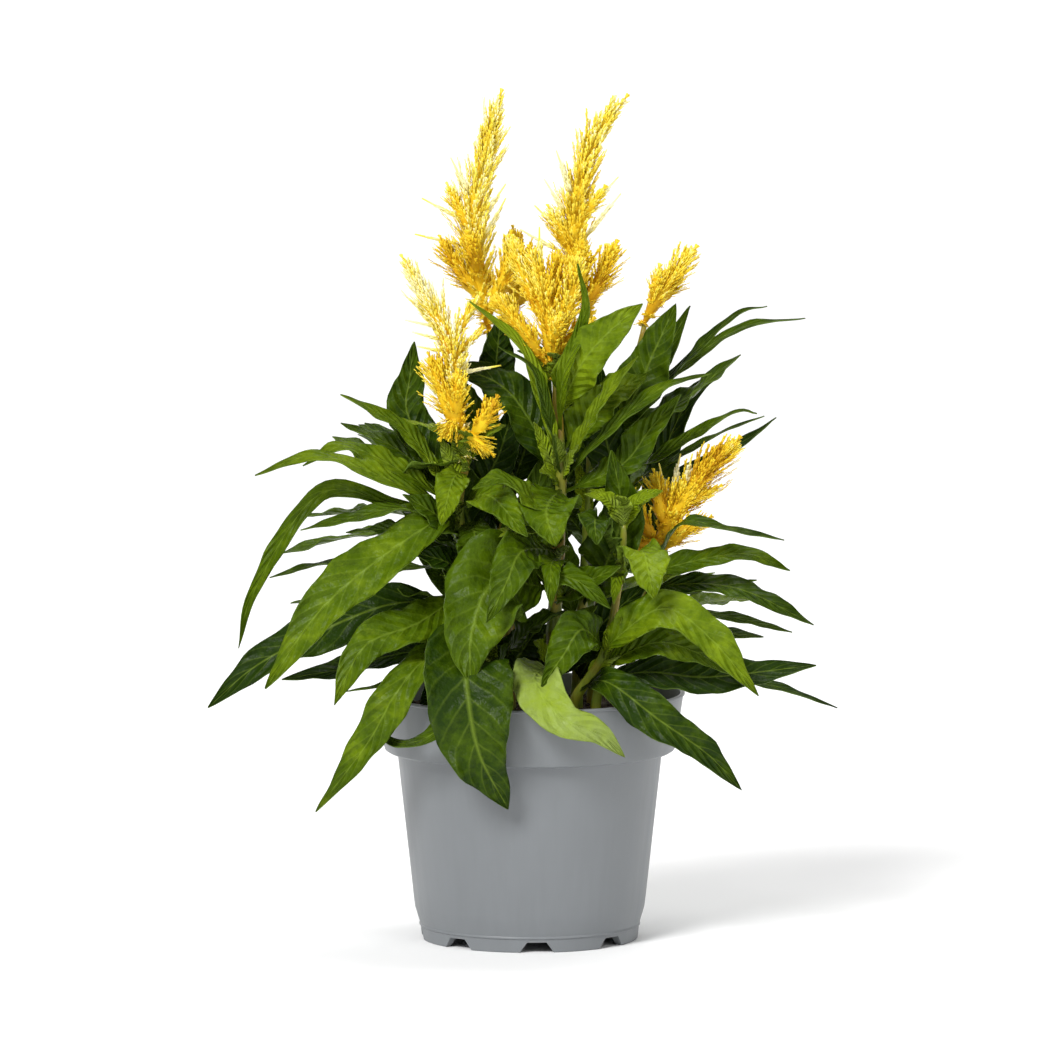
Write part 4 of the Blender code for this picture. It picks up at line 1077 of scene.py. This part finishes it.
def makeSoil(mat):
    radius = soilLook["radius"]
    bpy.ops.mesh.primitive_circle_add(vertices=soilLook["sides"], radius=radius, fill_type="NGON",
                                      location=potAxis + Vector((0, 0, soilTop)))
    soil = bpy.context.object
    soil.name = "soilBed"
    bpy.ops.object.transform_apply(location=True, rotation=False, scale=False)
    startEdit()
    for step in range(soilLook["rings"]):
        bpy.ops.mesh.inset(thickness=radius / (soilLook["rings"] + 1.5))
    bpy.ops.mesh.poke()
    pickRim()
    extrude(0, 0, -soilLook["depth"])
    bpy.ops.mesh.edge_face_add()
    closeEdit()
    for vert in soil.data.vertices:
        out = vert.co.xy - potAxis.xy
        if vert.co.z < soilTop - 0.001:
            vert.co.xy = potAxis.xy + out * soilLook["taper"]
        elif out.length < radius * 0.97:
            vert.co.z += sum(mathutils.noise.noise(vert.co * scale) * height
                             for scale, height in soilLook["lumps"])
    pick(soil, makeCrumbs())
    bpy.ops.object.join()
    soil.data.materials.append(mat)
    pick()
    finish(soil, "soil", "soil")


print("pieces start")
placedLeaves = clearLeaves()
print("leaves placed", {stem: len(group) for stem, group in placedLeaves.items()})
leafMats = {"leaf": leafMaterial("leafUpper", False), "under": leafMaterial("leafUnder", True),
            "stem": stemMaterial()}
blade, flat = flatLeaf()
for stemName, group in placedLeaves.items():
    made = makeStemPiece(stemName, blade, flat, group, leafMats)
    print(made.name, len(made.data.polygons))
bpy.data.objects.remove(blade)
floretVerts, floretTris = oneFloret()
yellow = plumeMaterial()
for number, stemName in enumerate(plumes):
    makePlume(stemName, floretVerts, floretTris, yellow, plumeLook["seed"] + number)
makePot(potMaterial())
makeSoil(soilMaterial())
print("pot and soil made")


# the floor bends up behind into a wall; the white that is shown lights the pieces less than it looks
stageLook = {"size": 8, "bends": 12, "step": 0.2, "wall": 4, "shown": 1.0, "lit": 0.33,
             "lights": (("keyLight", (-0.7, -1.2, 1.3), "SUN", 0.35, 2.9),
                        ("fillLight", (1.4, -1.4, 0.9), "AREA", 1.2, 8),
                        ("topLight", (0.3, 0.5, 1.9), "AREA", 1.0, 16))}


def makeFloor():
    bpy.ops.mesh.primitive_plane_add(size=stageLook["size"], location=(0, 0, 0))
    floor = bpy.context.object
    floor.name = "floor"
    startEdit("DESELECT")
    bpy.ops.object.mode_set(mode="OBJECT")
    for edge in floor.data.edges:
        edge.select = all(floor.data.vertices[v].co.y > 3.9 for v in edge.vertices)
    bpy.ops.object.mode_set(mode="EDIT")
    bpy.ops.mesh.select_mode(type="EDGE")
    for k in range(stageLook["bends"]):
        turn = math.radians(90 * (k + 0.5) / stageLook["bends"])
        extrude(0, stageLook["step"] * math.cos(turn), stageLook["step"] * math.sin(turn))
    extrude(0, 0, stageLook["wall"])
    bpy.ops.object.mode_set(mode="OBJECT")
    bpy.ops.object.shade_smooth()
    mat, tree, shader = newMaterial("floorWhite", (0.96,) * 3, 0.9, 0.0)
    floor.data.materials.append(mat)


def aimAt(thing, spot):
    thing.rotation_euler = (spot - thing.location).to_track_quat("-Z", "Y").to_euler()


def makeLight():
    world = bpy.data.worlds.new("studio")
    bpy.context.scene.world = world
    world.use_nodes = True
    nodes = world.node_tree.nodes
    shown, lit = nodes["Background"], nodes.new("ShaderNodeBackground")
    for shader, strength in ((shown, stageLook["shown"]), (lit, stageLook["lit"])):
        shader.inputs["Color"].default_value = (1, 1, 1, 1)
        shader.inputs["Strength"].default_value = strength
    ray, both = nodes.new("ShaderNodeLightPath"), nodes.new("ShaderNodeMixShader")
    for output, socket in (
        (ray.outputs["Is Camera Ray"], both.inputs["Fac"]), (lit.outputs[0], both.inputs[1]),
        (shown.outputs[0], both.inputs[2]), (both.outputs[0], nodes["World Output"].inputs["Surface"]),
    ):
        world.node_tree.links.new(output, socket)
    for name, place, kind, size, power in stageLook["lights"]:
        bpy.ops.object.light_add(type=kind, location=place)
        light = bpy.context.object
        light.name = name
        light.data.energy = power
        setattr(light.data, "angle" if kind == "SUN" else "size", size)
        aimAt(light, Vector((0, 0, 0.18)))


def makeCamera():
    bpy.ops.object.camera_add(location=potAxis + eye)
    camera = bpy.context.object
    aimAt(camera, potAxis + Vector((view["aimX"], 0, view["aimZ"])))
    camera.data.lens = view["lens"]
    camera.data.sensor_width = view["sensor"]
    bpy.context.scene.camera = camera


makeFloor()
makeLight()
makeCamera()
bpy.context.scene.view_settings.view_transform = "Standard"
pick()
